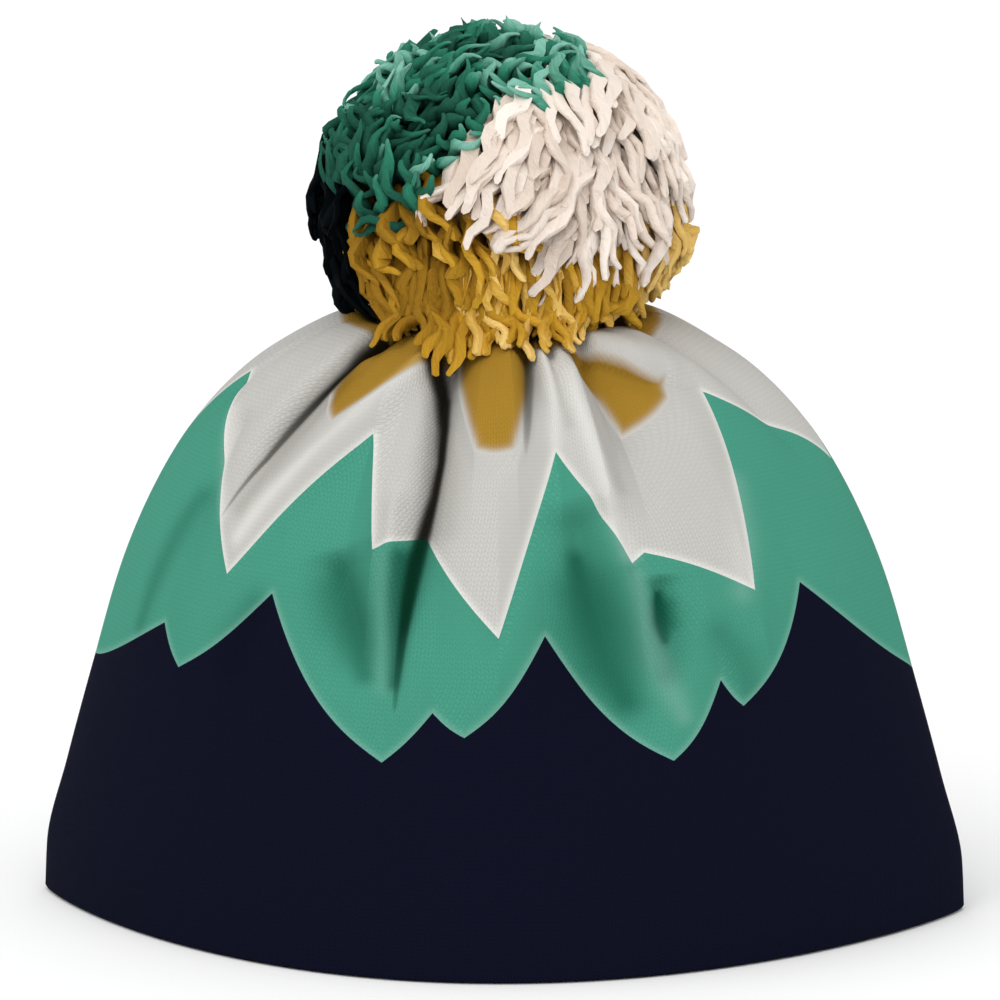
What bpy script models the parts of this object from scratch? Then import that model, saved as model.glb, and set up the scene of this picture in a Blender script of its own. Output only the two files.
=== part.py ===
"""A knitted hat with petal colour-work and a four-colour yarn pompom, standing on its hem.

The crown is one sheet of knitting, worked in four colours whose edges interlock: a navy
band from the hem, then green, cream and mustard petals. Its top is gathered into a dish
in which the pompom sits. Blender units are metres, +Z is up, and the front faces -Y. The
origin is on the floor below the middle of the hem.

Places on the crown are given by two numbers. The angle, in degrees, runs round the hat
from its right side (0) by way of the front (90) and the left side (180). The share runs
up the knitting from the hem (0) to the gather at the top (1).
"""

import math

import bmesh
import bpy
from mathutils import Matrix, Vector

# Driving dimensions, in metres
HEM_WIDTH = 0.206
HEM_DEPTH = 0.162
CROWN_HEIGHT = 0.1320
KNIT_THICKNESS = 0.0025
GATHER_RADIUS = 0.0050
POMPOM_HEAD_RADIUS = 0.0380
LOCK_REACH = 0.0048
LOCK_RADIUS = 0.0075
SKIRT_LOCK_RADIUS = 0.0054
SKIRT_CLEARANCE = 0.0010
KNOT_RADIUS = 0.0090
KNOT_HEIGHT = 0.0060
FOLD_DEPTH = 0.0060
FOLD_WIDTH = 0.0060
SEAT_CLEARANCE = 0.0003
COLOUR_GAP = 0.0003

# How far the folded sides of the plan are rounded off, as a share of the hem's half-depth
SIDE_ROUNDING = 0.15

# The dish that the pompom sits in, and the crest of knitting round it
SEAT_SHARE = 0.76
CREST_WIDTH = 0.0040
CREST_RISE = 0.0018
CREST_AT = 0.890
SEAT_AT = 0.925

# The pompom's lowest locks, in front and behind, lie out over the crest and down to this
# share of the knitting. They take up this much of each half turn, rooted this far down.
SKIRT_AT = 0.825
SKIRT_SPAN = 78.0
SKIRT_TURN = 7.0
SKIRT_ROOT_DROP = 24.0
SKIRT_COLOURS = ("mustard", "navy")

# The shape of a lock: how far out along it, and how wide, as shares of its reach and radius
LOCK_PROFILE = [
    # reach, width
    (-0.80, 0.90),
    (0.50, 1.00),
    (1.00, 0.60),
]
SHORT_LOCK_SHARE = 0.86
SKIRT_WIDTHS = (0.90, 1.00, 0.92, 0.66)
LOCK_TWIST = 0.8
LOCK_OVERHANG = 0.6

# How finely the solids are faceted
WIDEST_COLUMN = 5.2
NAVY_ROWS, GREEN_ROWS, CREAM_ROWS, MUSTARD_ROWS = 3, 5, 4, 2
DISH_ROWS = 2
HEAD_SUBDIVISIONS = 3
LOCK_COUNT = 66
SKIRT_LOCK_COUNT = 7
LOCK_SIDES = 5
TIE_SIDES = 12
SHARP_FROM = 50.0

# Up the knitting: share, height as a share of the crown's, then half-width and half-depth
# as shares of the way out from the crest to the hem, and how pointed the sides are
# (1 is an oval, 2 is two flat arcs that meet in a point)
SECTIONS = [
    # share, height, width, depth, point
    (0.00, 0.000, 1.000, 1.000, 1.70),
    (0.08, 0.084, 0.992, 0.995, 1.66),
    (0.20, 0.225, 0.925, 0.960, 1.58),
    (0.34, 0.398, 0.835, 0.895, 1.46),
    (0.48, 0.576, 0.735, 0.800, 1.34),
    (0.60, 0.722, 0.612, 0.665, 1.24),
    (0.70, 0.832, 0.475, 0.510, 1.16),
    (0.80, 0.935, 0.265, 0.290, 1.08),
]

# Where one colour of knitting gives way to the next, petal by petal, round half the hat.
# The bow swells a petal's side out below the straight line to the next corner. The back
# repeats the front, turned half round.
GREEN_EDGE = [
    # angle, share, bow
    (0.0, 0.350, 0.030),
    (35.0, 0.500, 0.018),
    (50.6, 0.358, 0.004),
    (53.6, 0.394, 0.012),
    (62.2, 0.299, 0.024),
    (78.8, 0.464, 0.016),
    (90.0, 0.338, 0.003),
    (94.4, 0.368, 0.004),
    (101.0, 0.302, 0.026),
    (121.4, 0.498, 0.012),
    (137.5, 0.382, 0.004),
    (143.5, 0.432, 0.024),
]
CREAM_EDGE = [
    # angle, share, bow
    (0.0, 0.635, 0.000),
    (35.0, 0.768, -0.040),
    (44.6, 0.500, -0.006),
    (62.2, 0.563, 0.000),
    (64.6, 0.550, 0.000),
    (74.8, 0.703, -0.012),
    (85.4, 0.461, 0.004),
    (97.8, 0.590, 0.000),
    (105.6, 0.567, -0.010),
    (110.0, 0.720, -0.006),
    (131.4, 0.512, -0.045),
    (168.0, 0.772, 0.000),
]
MUSTARD_EDGE = [
    # angle, share, bow
    (0.0, 0.872, 0.000),
    (35.0, 0.850, 0.000),
    (44.6, 0.768, 0.004),
    (60.4, 0.722, 0.000),
    (64.6, 0.850, 0.000),
    (74.8, 0.850, 0.000),
    (82.0, 0.704, 0.006),
    (90.0, 0.706, 0.000),
    (97.8, 0.842, 0.000),
    (121.4, 0.732, 0.006),
    (131.4, 0.786, 0.000),
    (135.0, 0.862, 0.000),
]

# Folds of the gathered top, each along a line on the crown. Depth is a share of
# FOLD_DEPTH, below 0 for a crease and above 0 for a ridge; a ridge starts below the crest,
# clear of the pompom. The widths, on the side of smaller and of larger angles, are shares
# of FOLD_WIDTH, and bow bends the line sideways, in degrees.
FOLDS = [
    # from angle, share, to angle, share, depth, width before, width after, bow
    (120.0, 0.94, 135.0, 0.59, -0.85, 1.30, 0.35, 3.0),
    (101.5, 0.86, 131.5, 0.52, 0.50, 0.60, 1.00, 0.0),
    (101.5, 0.94, 98.6, 0.41, -1.00, 0.90, 0.32, -2.5),
    (81.0, 0.86, 84.0, 0.66, 0.35, 0.80, 0.80, 0.0),
    (76.5, 0.94, 77.6, 0.70, -0.60, 0.28, 0.28, 0.5),
    (72.5, 0.86, 75.0, 0.69, 0.30, 0.28, 0.30, 0.0),
    (68.5, 0.94, 72.5, 0.73, -0.30, 0.28, 0.28, 0.0),
    (66.5, 0.86, 59.0, 0.37, 0.70, 0.35, 0.90, 2.0),
    (60.5, 0.94, 63.2, 0.54, -0.50, 1.10, 0.25, 0.0),
    (60.4, 0.58, 61.0, 0.44, -0.55, 0.50, 0.35, 0.0),
    (71.4, 0.64, 68.6, 0.36, -0.70, 1.20, 1.10, 0.0),
    (112.5, 0.62, 104.8, 0.40, -0.60, 1.00, 0.80, 0.0),
    (102.4, 0.66, 102.6, 0.38, 0.30, 0.40, 0.50, 0.0),
    (62.0, 0.85, 33.0, 0.76, -0.45, 0.30, 0.90, 0.0),
    (58.0, 0.86, 22.0, 0.79, 0.40, 0.90, 0.90, 0.0),
    (148.0, 0.78, 136.5, 0.46, -0.45, 0.80, 0.50, 0.0),
    (154.0, 0.74, 143.5, 0.43, 0.35, 0.80, 0.80, 0.0),
    (127.0, 0.86, 139.0, 0.60, 0.35, 0.50, 1.00, 2.0),
    (24.0, 0.93, 17.0, 0.56, -0.35, 0.70, 0.70, 0.0),
    (163.0, 0.93, 165.0, 0.60, -0.30, 0.60, 0.60, 0.0),
]
BACK_FOLD_SHARE = 0.75
CREASE_SHARPNESS, RIDGE_SHARPNESS = 1.3, 2.0
FOLD_START, FOLD_END = 0.12, 0.55
DEEPEST_FOLD, HIGHEST_FOLD = 1.15, 0.60

# The pompom's four bundles of yarn. Navy fills the cap that faces NAVY_FACES, and the
# others are sectors round a line along SECTOR_LINE, each from one angle to the next.
NAVY_FACES = Vector((-0.66, 0.55, -0.51)).normalized()
NAVY_CAP_SHARE = 0.38
SECTOR_LINE = Vector((-0.526, -0.849, -0.037)).normalized()
SECTORS = [
    # colour, first angle, last angle
    ("cream", -25.0, 40.0),
    ("green", 40.0, 196.0),
    ("mustard", -164.0, -25.0),
]

# Colours: base colour, and roughness
FINISHES = {
    "navy": ((0.010, 0.011, 0.020), 0.90),
    "green": ((0.060, 0.250, 0.180), 0.85),
    "cream": ((0.620, 0.600, 0.550), 0.85),
    "mustard": ((0.430, 0.260, 0.045), 0.85),
    "tie": ((0.020, 0.021, 0.030), 0.90),
}

# Sizes that follow from the ones above
HALF_TURN = 180.0
HALF_WIDTH = HEM_WIDTH / 2
HALF_DEPTH = HEM_DEPTH / 2
SEAT_RADIUS = SEAT_SHARE * POMPOM_HEAD_RADIUS
CREST_RADIUS = SEAT_RADIUS + CREST_WIDTH
SEAT_HEIGHT = CROWN_HEIGHT - CREST_RISE
# The dish's flat facets are set round the ball, so their middles keep the clearance.
FACET_HALF_TURN = (math.asin(SEAT_SHARE) - math.asin(GATHER_RADIUS / POMPOM_HEAD_RADIUS)) / (
    2 * DISH_ROWS
)
DISH_RADIUS = (POMPOM_HEAD_RADIUS + SEAT_CLEARANCE) / math.cos(FACET_HALF_TURN)
POMPOM_HEIGHT = SEAT_HEIGHT + math.sqrt(DISH_RADIUS**2 - SEAT_RADIUS**2)
POMPOM_RADIUS = POMPOM_HEAD_RADIUS + LOCK_REACH


def clear_scene():
    for found in list(bpy.data.objects):
        bpy.data.objects.remove(found, do_unlink=True)


def add_material(name):
    colour, roughness = FINISHES[name]
    made = bpy.data.materials.new(name + "_yarn")
    made.use_nodes = True
    shader = made.node_tree.nodes["Principled BSDF"]
    shader.inputs["Base Color"].default_value = (*colour, 1.0)
    shader.inputs["Roughness"].default_value = roughness
    shader.inputs["Metallic"].default_value = 0.0
    made.diffuse_color = (*colour, 1.0)


def smooth_step(x):
    x = min(1.0, max(0.0, x))
    return x * x * (3.0 - 2.0 * x)


def steady_slopes(places, values):
    """Slopes of a curve through the values that never overshoots them."""
    steps = [b - a for a, b in zip(places, places[1:])]
    rises = [(b - a) / h for a, b, h in zip(values, values[1:], steps)]
    slopes = [rises[0]]
    for k in range(1, len(places) - 1):
        before, after = rises[k - 1], rises[k]
        if before * after <= 0.0:
            slopes.append(0.0)
            continue
        first = 2.0 * steps[k] + steps[k - 1]
        second = steps[k] + 2.0 * steps[k - 1]
        slopes.append((first + second) / (first / before + second / after))
    slopes.append(rises[-1])
    return slopes


class Curve:
    """A smooth curve through (place, value) pairs."""

    def __init__(self, places, values):
        self.places = places
        self.values = values
        self.slopes = steady_slopes(places, values)

    def at(self, place):
        place = min(self.places[-1], max(self.places[0], place))
        k = 0
        while k < len(self.places) - 2 and place > self.places[k + 1]:
            k += 1
        step = self.places[k + 1] - self.places[k]
        x = (place - self.places[k]) / step
        return (
            (2 * x**3 - 3 * x**2 + 1) * self.values[k]
            + (x**3 - 2 * x**2 + x) * step * self.slopes[k]
            + (3 * x**2 - 2 * x**3) * self.values[k + 1]
            + (x**3 - x**2) * step * self.slopes[k + 1]
        )


def dish_height(radius):
    """Height of the dish that the pompom sits in, this far from its middle."""
    return POMPOM_HEIGHT - math.sqrt(DISH_RADIUS**2 - radius**2)


def full_sections():
    """Rows of (share, height, half-width, half-depth, point) from the hem to the gather."""
    rows = []
    for share, height, width, depth, point in SECTIONS:
        half_width = CREST_RADIUS + (HALF_WIDTH - CREST_RADIUS) * width
        half_depth = CREST_RADIUS + (HALF_DEPTH - CREST_RADIUS) * depth
        rows.append((share, CROWN_HEIGHT * height, half_width, half_depth, point))
    rows.append((CREST_AT, CROWN_HEIGHT, CREST_RADIUS, CREST_RADIUS, 1.0))
    widest, narrowest = math.asin(SEAT_RADIUS / DISH_RADIUS), math.asin(GATHER_RADIUS / DISH_RADIUS)
    for k in range(DISH_ROWS + 1):
        radius = DISH_RADIUS * math.sin(widest + (narrowest - widest) * k / DISH_ROWS)
        share = SEAT_AT + (1.0 - SEAT_AT) * k / DISH_ROWS
        rows.append((share, dish_height(radius), radius, radius, 1.0))
    return rows


ROWS = full_sections()
SHARES = [row[0] for row in ROWS]
HEIGHT = Curve(SHARES, [row[1] for row in ROWS])
WIDTH = Curve(SHARES, [row[2] for row in ROWS])
DEPTH = Curve(SHARES, [row[3] for row in ROWS])
POINT = Curve(SHARES, [row[4] for row in ROWS])
KNIT_LENGTH = sum(
    math.hypot(b[1] - a[1], (b[2] + b[3] - a[2] - a[3]) / 2) for a, b in zip(ROWS, ROWS[1:])
)


def ring_point(angle, half_width, half_depth, point, height):
    """A point on one level ring of the crown: an oval whose sides come to a soft point."""
    turn = math.radians(angle)
    sine = math.sin(turn)
    rounded = (sine**2 + SIDE_ROUNDING**2) / (1.0 + SIDE_ROUNDING**2)
    reach = half_depth * sine * rounded ** ((point - 1.0) / 2)
    return Vector((half_width * math.cos(turn), -reach, height))


def smooth_point(angle, share):
    """A point on the outside of the crown, before its folds."""
    return ring_point(angle, WIDTH.at(share), DEPTH.at(share), POINT.at(share), HEIGHT.at(share))


def outward(angle, share):
    """The direction straight out of the unfolded crown, and level at the square-cut hem."""
    turn, climb, square_hem = 0.5, 0.004, 0.1
    low, high = max(0.0, share - climb), min(1.0, share + climb)
    around = smooth_point(angle + turn, share) - smooth_point(angle - turn, share)
    upward = smooth_point(angle, high) - smooth_point(angle, low)
    direction = upward.cross(around).normalized()
    direction.z *= smooth_step(share / square_hem)
    return direction.normalized()


def fold_line_offset(fold, angle, share):
    """How far across (metres, signed) and along (0 to 1) a fold line a place lies."""
    angle_0, share_0, angle_1, share_1, _, _, _, bow = fold
    middle = (share_0 + share_1) / 2
    per_degree = math.radians(1.0) * (WIDTH.at(middle) + DEPTH.at(middle)) / 2
    run = (angle_1 - angle_0) * per_degree
    rise = (share_1 - share_0) * KNIT_LENGTH
    x = (angle - angle_0) * per_degree
    y = (share - share_0) * KNIT_LENGTH
    length = math.hypot(run, rise)
    along = (x * run + y * rise) / length**2
    bulge = bow * per_degree * 4.0 * along * (1.0 - along)
    across = (x * rise - y * run) / length
    # Folds run down the hat, so a place with a larger angle comes out positive.
    return -across - bulge, along


def relief_of(fold, angle, share):
    depth, before, after = fold[4:7]
    across, along = fold_line_offset(fold, angle, share)
    if not 0.0 < along < 1.0:
        return 0.0
    width = FOLD_WIDTH * (after if across > 0.0 else before)
    sharpness = CREASE_SHARPNESS if depth < 0.0 else RIDGE_SHARPNESS
    profile = math.exp(-((abs(across) / width) ** sharpness))
    fade = smooth_step(along / FOLD_START) * smooth_step((1.0 - along) / FOLD_END)
    return depth * FOLD_DEPTH * profile * fade


def relief(angle, share):
    """How far the folds lift the knitting off the smooth crown."""
    angle = angle % (2 * HALF_TURN)
    total = 0.0
    for start, strength in ((0.0, 1.0), (HALF_TURN, BACK_FOLD_SHARE)):
        local = angle - start
        if not -HALF_TURN / 2 <= local <= 1.5 * HALF_TURN:
            local += 2 * HALF_TURN if local < 0.0 else -2 * HALF_TURN
        total += strength * sum(relief_of(fold, local, share) for fold in FOLDS)
    # The dish stays smooth, so that the pompom sits in it.
    keep = smooth_step((SEAT_AT - share) / (SEAT_AT - CREST_AT))
    return keep * max(-DEEPEST_FOLD * FOLD_DEPTH, min(HIGHEST_FOLD * FOLD_DEPTH, total))


def highest_relief(angle, share, half_width):
    """The highest fold within this distance of a place, or 0 where none stands up."""
    spread = math.degrees(half_width / WIDTH.at(share))
    return max([0.0] + [relief(angle + spread * k / 2, share) for k in (-2, -1, 0, 1, 2)])


def wall_points(angle, share):
    """The outer and the inner point of the knitted wall at one place."""
    out = outward(angle, share)
    lift = out * relief(angle, share)
    # The inner ring is narrower by the knit's thickness, or wider where it is the dish's.
    inset = math.hypot(out.x, out.y) * KNIT_THICKNESS
    if share > CREST_AT:
        inset = -inset
    width, depth = WIDTH.at(share) - inset, DEPTH.at(share) - inset
    height = HEIGHT.at(share) - out.z * KNIT_THICKNESS
    inner = ring_point(angle, width, depth, POINT.at(share), height)
    return smooth_point(angle, share) + lift, inner + lift


def edge_share(edge, angle):
    """The share at which a colour's edge crosses this angle, and its slope per degree."""
    angle = angle % HALF_TURN
    corners = edge + [(HALF_TURN, edge[0][1], 0.0)]
    for (a, low, bow), (b, high, _) in zip(corners, corners[1:]):
        if a <= angle <= b:
            x = (angle - a) / (b - a)
            return low + (high - low) * x - bow * math.sin(math.pi * x), (high - low) / (b - a)
    raise ValueError("an edge has to run from 0 to 180 degrees")


def edge_steepness(edge, angle):
    """How much longer the edge is than its run round the hat, on its steeper side."""
    steepest, cap, beside = 1.0, 6.0, 0.01
    for nearby in (angle - beside, angle + beside):
        share, slope = edge_share(edge, nearby)
        run = math.radians(1.0) * min(WIDTH.at(share), DEPTH.at(share))
        steepest = max(steepest, math.hypot(run, slope * KNIT_LENGTH) / run)
    return min(steepest, cap)


def column_angles():
    """Angles of the crown's columns: every corner of an edge, and enough between them."""
    corners = sorted(
        {row[0] for edge in (GREEN_EDGE, CREAM_EDGE, MUSTARD_EDGE) for row in edge}
        | {HALF_TURN}
    )
    kept = [corners[0]]
    for corner in corners[1:]:
        gap = corner - kept[-1]
        pieces = math.ceil(gap / WIDEST_COLUMN)
        kept += [kept[-1] + gap * (k + 1) / pieces for k in range(pieces)]
    half = kept[:-1]
    return half + [angle + HALF_TURN for angle in half]


def band_shares(angle, low_edge, high_edge, rows):
    """The shares of a colour's rows of knitting at one angle, from low to high."""
    low, high = 0.0, CREST_AT
    if low_edge:
        low = edge_share(low_edge, angle)[0]
        low += COLOUR_GAP / 2 / KNIT_LENGTH * edge_steepness(low_edge, angle)
    if high_edge:
        high = edge_share(high_edge, angle)[0]
        high -= COLOUR_GAP / 2 / KNIT_LENGTH * edge_steepness(high_edge, angle)
    shares = [low + (high - low) * k / rows for k in range(rows + 1)]
    if not high_edge:
        shares += [SEAT_AT + (1.0 - SEAT_AT) * k / DISH_ROWS for k in range(DISH_ROWS + 1)]
    return shares


def colour_band(name, low_edge, high_edge, rows):
    """One colour of the crown: a closed wall between two edges, all the way round."""
    mesh = bmesh.new()
    outer, inner = [], []
    for angle in column_angles():
        shares = band_shares(angle, low_edge, high_edge, rows)
        pairs = [wall_points(angle, share) for share in shares]
        outer.append([mesh.verts.new(pair[0]) for pair in pairs])
        inner.append([mesh.verts.new(pair[1]) for pair in pairs])
    count = len(outer)
    last = len(outer[0]) - 1
    for i in range(count):
        j = (i + 1) % count
        for k in range(last):
            # Angles run clockwise seen from above, so this order faces outwards.
            mesh.faces.new((outer[i][k], outer[i][k + 1], outer[j][k + 1], outer[j][k]))
            mesh.faces.new((inner[i][k], inner[j][k], inner[j][k + 1], inner[i][k + 1]))
        mesh.faces.new((outer[i][0], outer[j][0], inner[j][0], inner[i][0]))
        mesh.faces.new((outer[i][last], inner[i][last], inner[j][last], outer[j][last]))
    bmesh.ops.triangulate(mesh, faces=mesh.faces[:])
    return add_object(name, mesh)


def add_object(name, mesh):
    data = bpy.data.meshes.new(name)
    mesh.normal_update()
    mesh.to_mesh(data)
    mesh.free()
    made = bpy.data.objects.new(name, data)
    bpy.context.scene.collection.objects.link(made)
    return made


def finish_solid(made, colour, parent):
    made.data.materials.append(bpy.data.materials[colour + "_yarn"])
    made.data.shade_smooth()
    made.data.set_sharp_from_angle(angle=math.radians(SHARP_FROM))
    made.parent = parent


def sector_direction(angle):
    """The way out from SECTOR_LINE at this angle; 0 is level, towards the right."""
    level = Vector((-SECTOR_LINE.y, SECTOR_LINE.x, 0.0)).normalized()
    upward = SECTOR_LINE.cross(level).normalized()
    turn = math.radians(angle)
    return level * math.cos(turn) + upward * math.sin(turn)


def bundle_planes(colour):
    """The planes that bound a bundle: (normal pointing out of it, distance from middle)."""
    cap = NAVY_CAP_SHARE * POMPOM_HEAD_RADIUS
    half_gap = COLOUR_GAP / 2
    if colour == "navy":
        return [(-NAVY_FACES, -cap - half_gap)]
    first, last = next(row[1:] for row in SECTORS if row[0] == colour)
    after_last = sector_direction(last + 90.0)
    before_first = sector_direction(first - 90.0)
    return [(NAVY_FACES, cap - half_gap), (after_last, -half_gap), (before_first, -half_gap)]


def round_head():
    mesh = bmesh.new()
    bmesh.ops.create_icosphere(
        mesh, subdivisions=HEAD_SUBDIVISIONS, radius=POMPOM_HEAD_RADIUS
    )
    return mesh


def bundle_space(colour):
    """The space that a bundle's yarn fills: a block trimmed by the planes between colours."""
    mesh = bmesh.new()
    bmesh.ops.create_cube(mesh, size=3 * POMPOM_RADIUS)
    for normal, distance in bundle_planes(colour):
        cut = bmesh.ops.bisect_plane(
            mesh,
            geom=mesh.verts[:] + mesh.edges[:] + mesh.faces[:],
            dist=1e-6,
            plane_co=normal * distance,
            plane_no=normal,
            clear_outer=True,
        )
        rim = [e for e in cut["geom_cut"] if isinstance(e, bmesh.types.BMEdge)]
        bmesh.ops.contextual_create(mesh, geom=rim)
    bmesh.ops.recalc_face_normals(mesh, faces=mesh.faces[:])
    return mesh


def spread_directions(count):
    """Directions spread evenly over a sphere, by the golden angle."""
    golden = math.pi * (3.0 - math.sqrt(5.0))
    for k in range(count):
        height = 1.0 - 2.0 * (k + 0.5) / count
        level = math.sqrt(1.0 - height * height)
        yield Vector((level * math.cos(golden * k), level * math.sin(golden * k), height))


def reaches(place, width, planes):
    """Whether a lock this wide, rooted at a place, stands well inside all the planes."""
    overhang = LOCK_OVERHANG * width
    return all(place.dot(normal) - distance < overhang for normal, distance in planes)


def add_lock(mesh, centres, widths, number):
    """One blunt lock of yarn, through a row of centres from root to tip."""
    direction = (centres[-1] - centres[0]).normalized()
    twist = Matrix.Rotation(LOCK_TWIST * number, 3, direction)
    side = twist @ direction.orthogonal().normalized()
    other = direction.cross(side)
    rings = []
    for centre, width in zip(centres, widths):
        ring = []
        for k in range(LOCK_SIDES):
            angle = 2.0 * math.pi * k / LOCK_SIDES
            out = side * math.cos(angle) + other * math.sin(angle)
            ring.append(mesh.verts.new(centre + out * width))
        rings.append(ring)
    mesh.faces.new(rings[0][::-1])
    mesh.faces.new(rings[-1])
    for low, high in zip(rings, rings[1:]):
        for k in range(LOCK_SIDES):
            j = (k + 1) % LOCK_SIDES
            mesh.faces.new((low[k], low[j], high[j], high[k]))


def add_round_locks(mesh, planes):
    """Locks that stand straight out of the head, clear of the crown's crest."""
    corner = math.hypot(POMPOM_RADIUS, LOCK_RADIUS)
    drop = POMPOM_HEIGHT - CROWN_HEIGHT - SEAT_CLEARANCE
    lowest = -math.sin(math.asin(drop / corner) - math.asin(LOCK_RADIUS / corner))
    for number, direction in enumerate(spread_directions(LOCK_COUNT)):
        if direction.z < lowest or not reaches(direction * POMPOM_HEAD_RADIUS, LOCK_RADIUS, planes):
            continue
        length = LOCK_REACH * (1.0 if number % 3 else SHORT_LOCK_SHARE)
        centres = [direction * (POMPOM_HEAD_RADIUS + length * out) for out, _ in LOCK_PROFILE]
        widths = [LOCK_RADIUS * width for _, width in LOCK_PROFILE]
        add_lock(mesh, centres, widths, number)


def skirt_angles():
    """Angles of the skirt's locks, first the front ones and then the back ones."""
    step = SKIRT_SPAN / (SKIRT_LOCK_COUNT - 1)
    first = (HALF_TURN - SKIRT_SPAN) / 2 + SKIRT_TURN
    for start in (first, first + HALF_TURN):
        for k in range(SKIRT_LOCK_COUNT):
            yield start + k * step


def add_skirt_locks(mesh, planes):
    """Locks that lie out over the crest and hang down in front of the crown."""
    drop = math.radians(SKIRT_ROOT_DROP)
    root_reach = POMPOM_HEAD_RADIUS - SKIRT_LOCK_RADIUS
    shares = (CREST_AT, (CREST_AT + SKIRT_AT) / 2, SKIRT_AT)
    widths = [SKIRT_LOCK_RADIUS * share for share in SKIRT_WIDTHS]
    for number, angle in enumerate(skirt_angles()):
        turn = math.radians(angle)
        level = Vector((math.cos(turn), -math.sin(turn), 0.0))
        root = (level * math.cos(drop) - Vector((0.0, 0.0, math.sin(drop)))) * root_reach
        if not reaches(root, SKIRT_LOCK_RADIUS, planes):
            continue
        centres = [root]
        for share, width in zip(shares, widths[1:]):
            lift = highest_relief(angle, share, width) + width + SKIRT_CLEARANCE
            over = smooth_point(angle, share) + outward(angle, share) * lift
            centres.append(over - Vector((0.0, 0.0, POMPOM_HEIGHT)))
        add_lock(mesh, centres, widths, number)


def combine(made, operation, other):
    """Join another object to this one, or trim this one to it, by a Boolean modifier."""
    step = made.modifiers.new(other.name, "BOOLEAN")
    step.operation = operation
    step.solver = "EXACT"
    step.use_self = True
    step.object = other


def drop_offcuts(mesh):
    """Delete all but the largest of the separate bodies that a cut leaves."""
    bodies, seen = [], set()
    for start in mesh.verts:
        if start in seen:
            continue
        seen.add(start)
        body, queue = [], [start]
        while queue:
            vert = queue.pop()
            body.append(vert)
            fresh = {edge.other_vert(vert) for edge in vert.link_edges} - seen
            seen |= fresh
            queue += fresh
        bodies.append(body)
    largest = max(bodies, key=len)
    offcuts = [vert for body in bodies if body is not largest for vert in body]
    bmesh.ops.delete(mesh, geom=offcuts, context="VERTS")


def yarn_bundle(colour, parent):
    """One colour of the pompom: locks fused to the head, and trimmed to its space."""
    locks = bmesh.new()
    planes = bundle_planes(colour)
    add_round_locks(locks, planes)
    if colour in SKIRT_COLOURS:
        add_skirt_locks(locks, planes)
    head = add_object("head_" + colour, round_head())
    locks = add_object("locks_" + colour, locks)
    space = add_object("space_" + colour, bundle_space(colour))
    combine(head, "UNION", locks)
    combine(head, "INTERSECT", space)
    fused = bmesh.new()
    fused.from_object(head, bpy.context.evaluated_depsgraph_get())
    drop_offcuts(fused)
    for used in (head, locks, space):
        bpy.data.objects.remove(used, do_unlink=True)
    finish_solid(add_object("pompom_" + colour, fused), colour, parent)


def pompom_tie(parent):
    """The yarn that ties the pompom on: a stump through the gather, knotted inside."""
    radius = GATHER_RADIUS - SEAT_CLEARANCE
    underside = dish_height(0.0) - KNIT_THICKNESS - SEAT_CLEARANCE
    top = POMPOM_HEIGHT - POMPOM_HEAD_RADIUS - SEAT_CLEARANCE
    soft = KNOT_HEIGHT / 4
    outline = [
        (radius, top),
        (radius, underside),
        (KNOT_RADIUS - soft, underside),
        (KNOT_RADIUS, underside - soft),
        (KNOT_RADIUS, underside - KNOT_HEIGHT + soft),
        (KNOT_RADIUS - soft, underside - KNOT_HEIGHT),
    ]
    mesh = bmesh.new()
    rings = []
    for reach, height in outline:
        turns = [2.0 * math.pi * k / TIE_SIDES for k in range(TIE_SIDES)]
        rings.append(
            [mesh.verts.new((reach * math.cos(a), reach * math.sin(a), height)) for a in turns]
        )
    mesh.faces.new(rings[0])
    mesh.faces.new(rings[-1][::-1])
    for high, low in zip(rings, rings[1:]):
        for k in range(TIE_SIDES):
            j = (k + 1) % TIE_SIDES
            mesh.faces.new((low[k], low[j], high[j], high[k]))
    bmesh.ops.triangulate(mesh, faces=mesh.faces[:])
    finish_solid(add_object("pompom_tie", mesh), "tie", parent)


def main():
    clear_scene()
    for name in FINISHES:
        add_material(name)
    hat = bpy.data.objects.new("hat", None)
    pompom = bpy.data.objects.new("pompom", None)
    for empty in (hat, pompom):
        bpy.context.scene.collection.objects.link(empty)
    pompom.parent = hat
    pompom.location.z = POMPOM_HEIGHT
    bands = [
        ("navy", None, GREEN_EDGE, NAVY_ROWS),
        ("green", GREEN_EDGE, CREAM_EDGE, GREEN_ROWS),
        ("cream", CREAM_EDGE, MUSTARD_EDGE, CREAM_ROWS),
        ("mustard", MUSTARD_EDGE, None, MUSTARD_ROWS),
    ]
    for colour, low_edge, high_edge, rows in bands:
        finish_solid(colour_band("crown_" + colour, low_edge, high_edge, rows), colour, hat)
    for colour in ("navy", "green", "cream", "mustard"):
        yarn_bundle(colour, pompom)
    pompom_tie(hat)


main()
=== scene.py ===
"""The looks of a knitted hat with petal colour-work and a four-colour yarn pompom.

The crown is one sheet of fine knitting, shown as four closed bands of colour whose edges
meet. The pompom is four bundles of crimped yarn, each strand bent along its own path.
Places on the crown are given by two numbers. The angle, in degrees, runs round the hat
from its right side (0) by way of the front (90) and the left side (180). The share runs
up the knitting from the hem (0) to the gather at the top (1).
"""

import math

import bpy
import numpy as np
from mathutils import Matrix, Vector, kdtree


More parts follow.
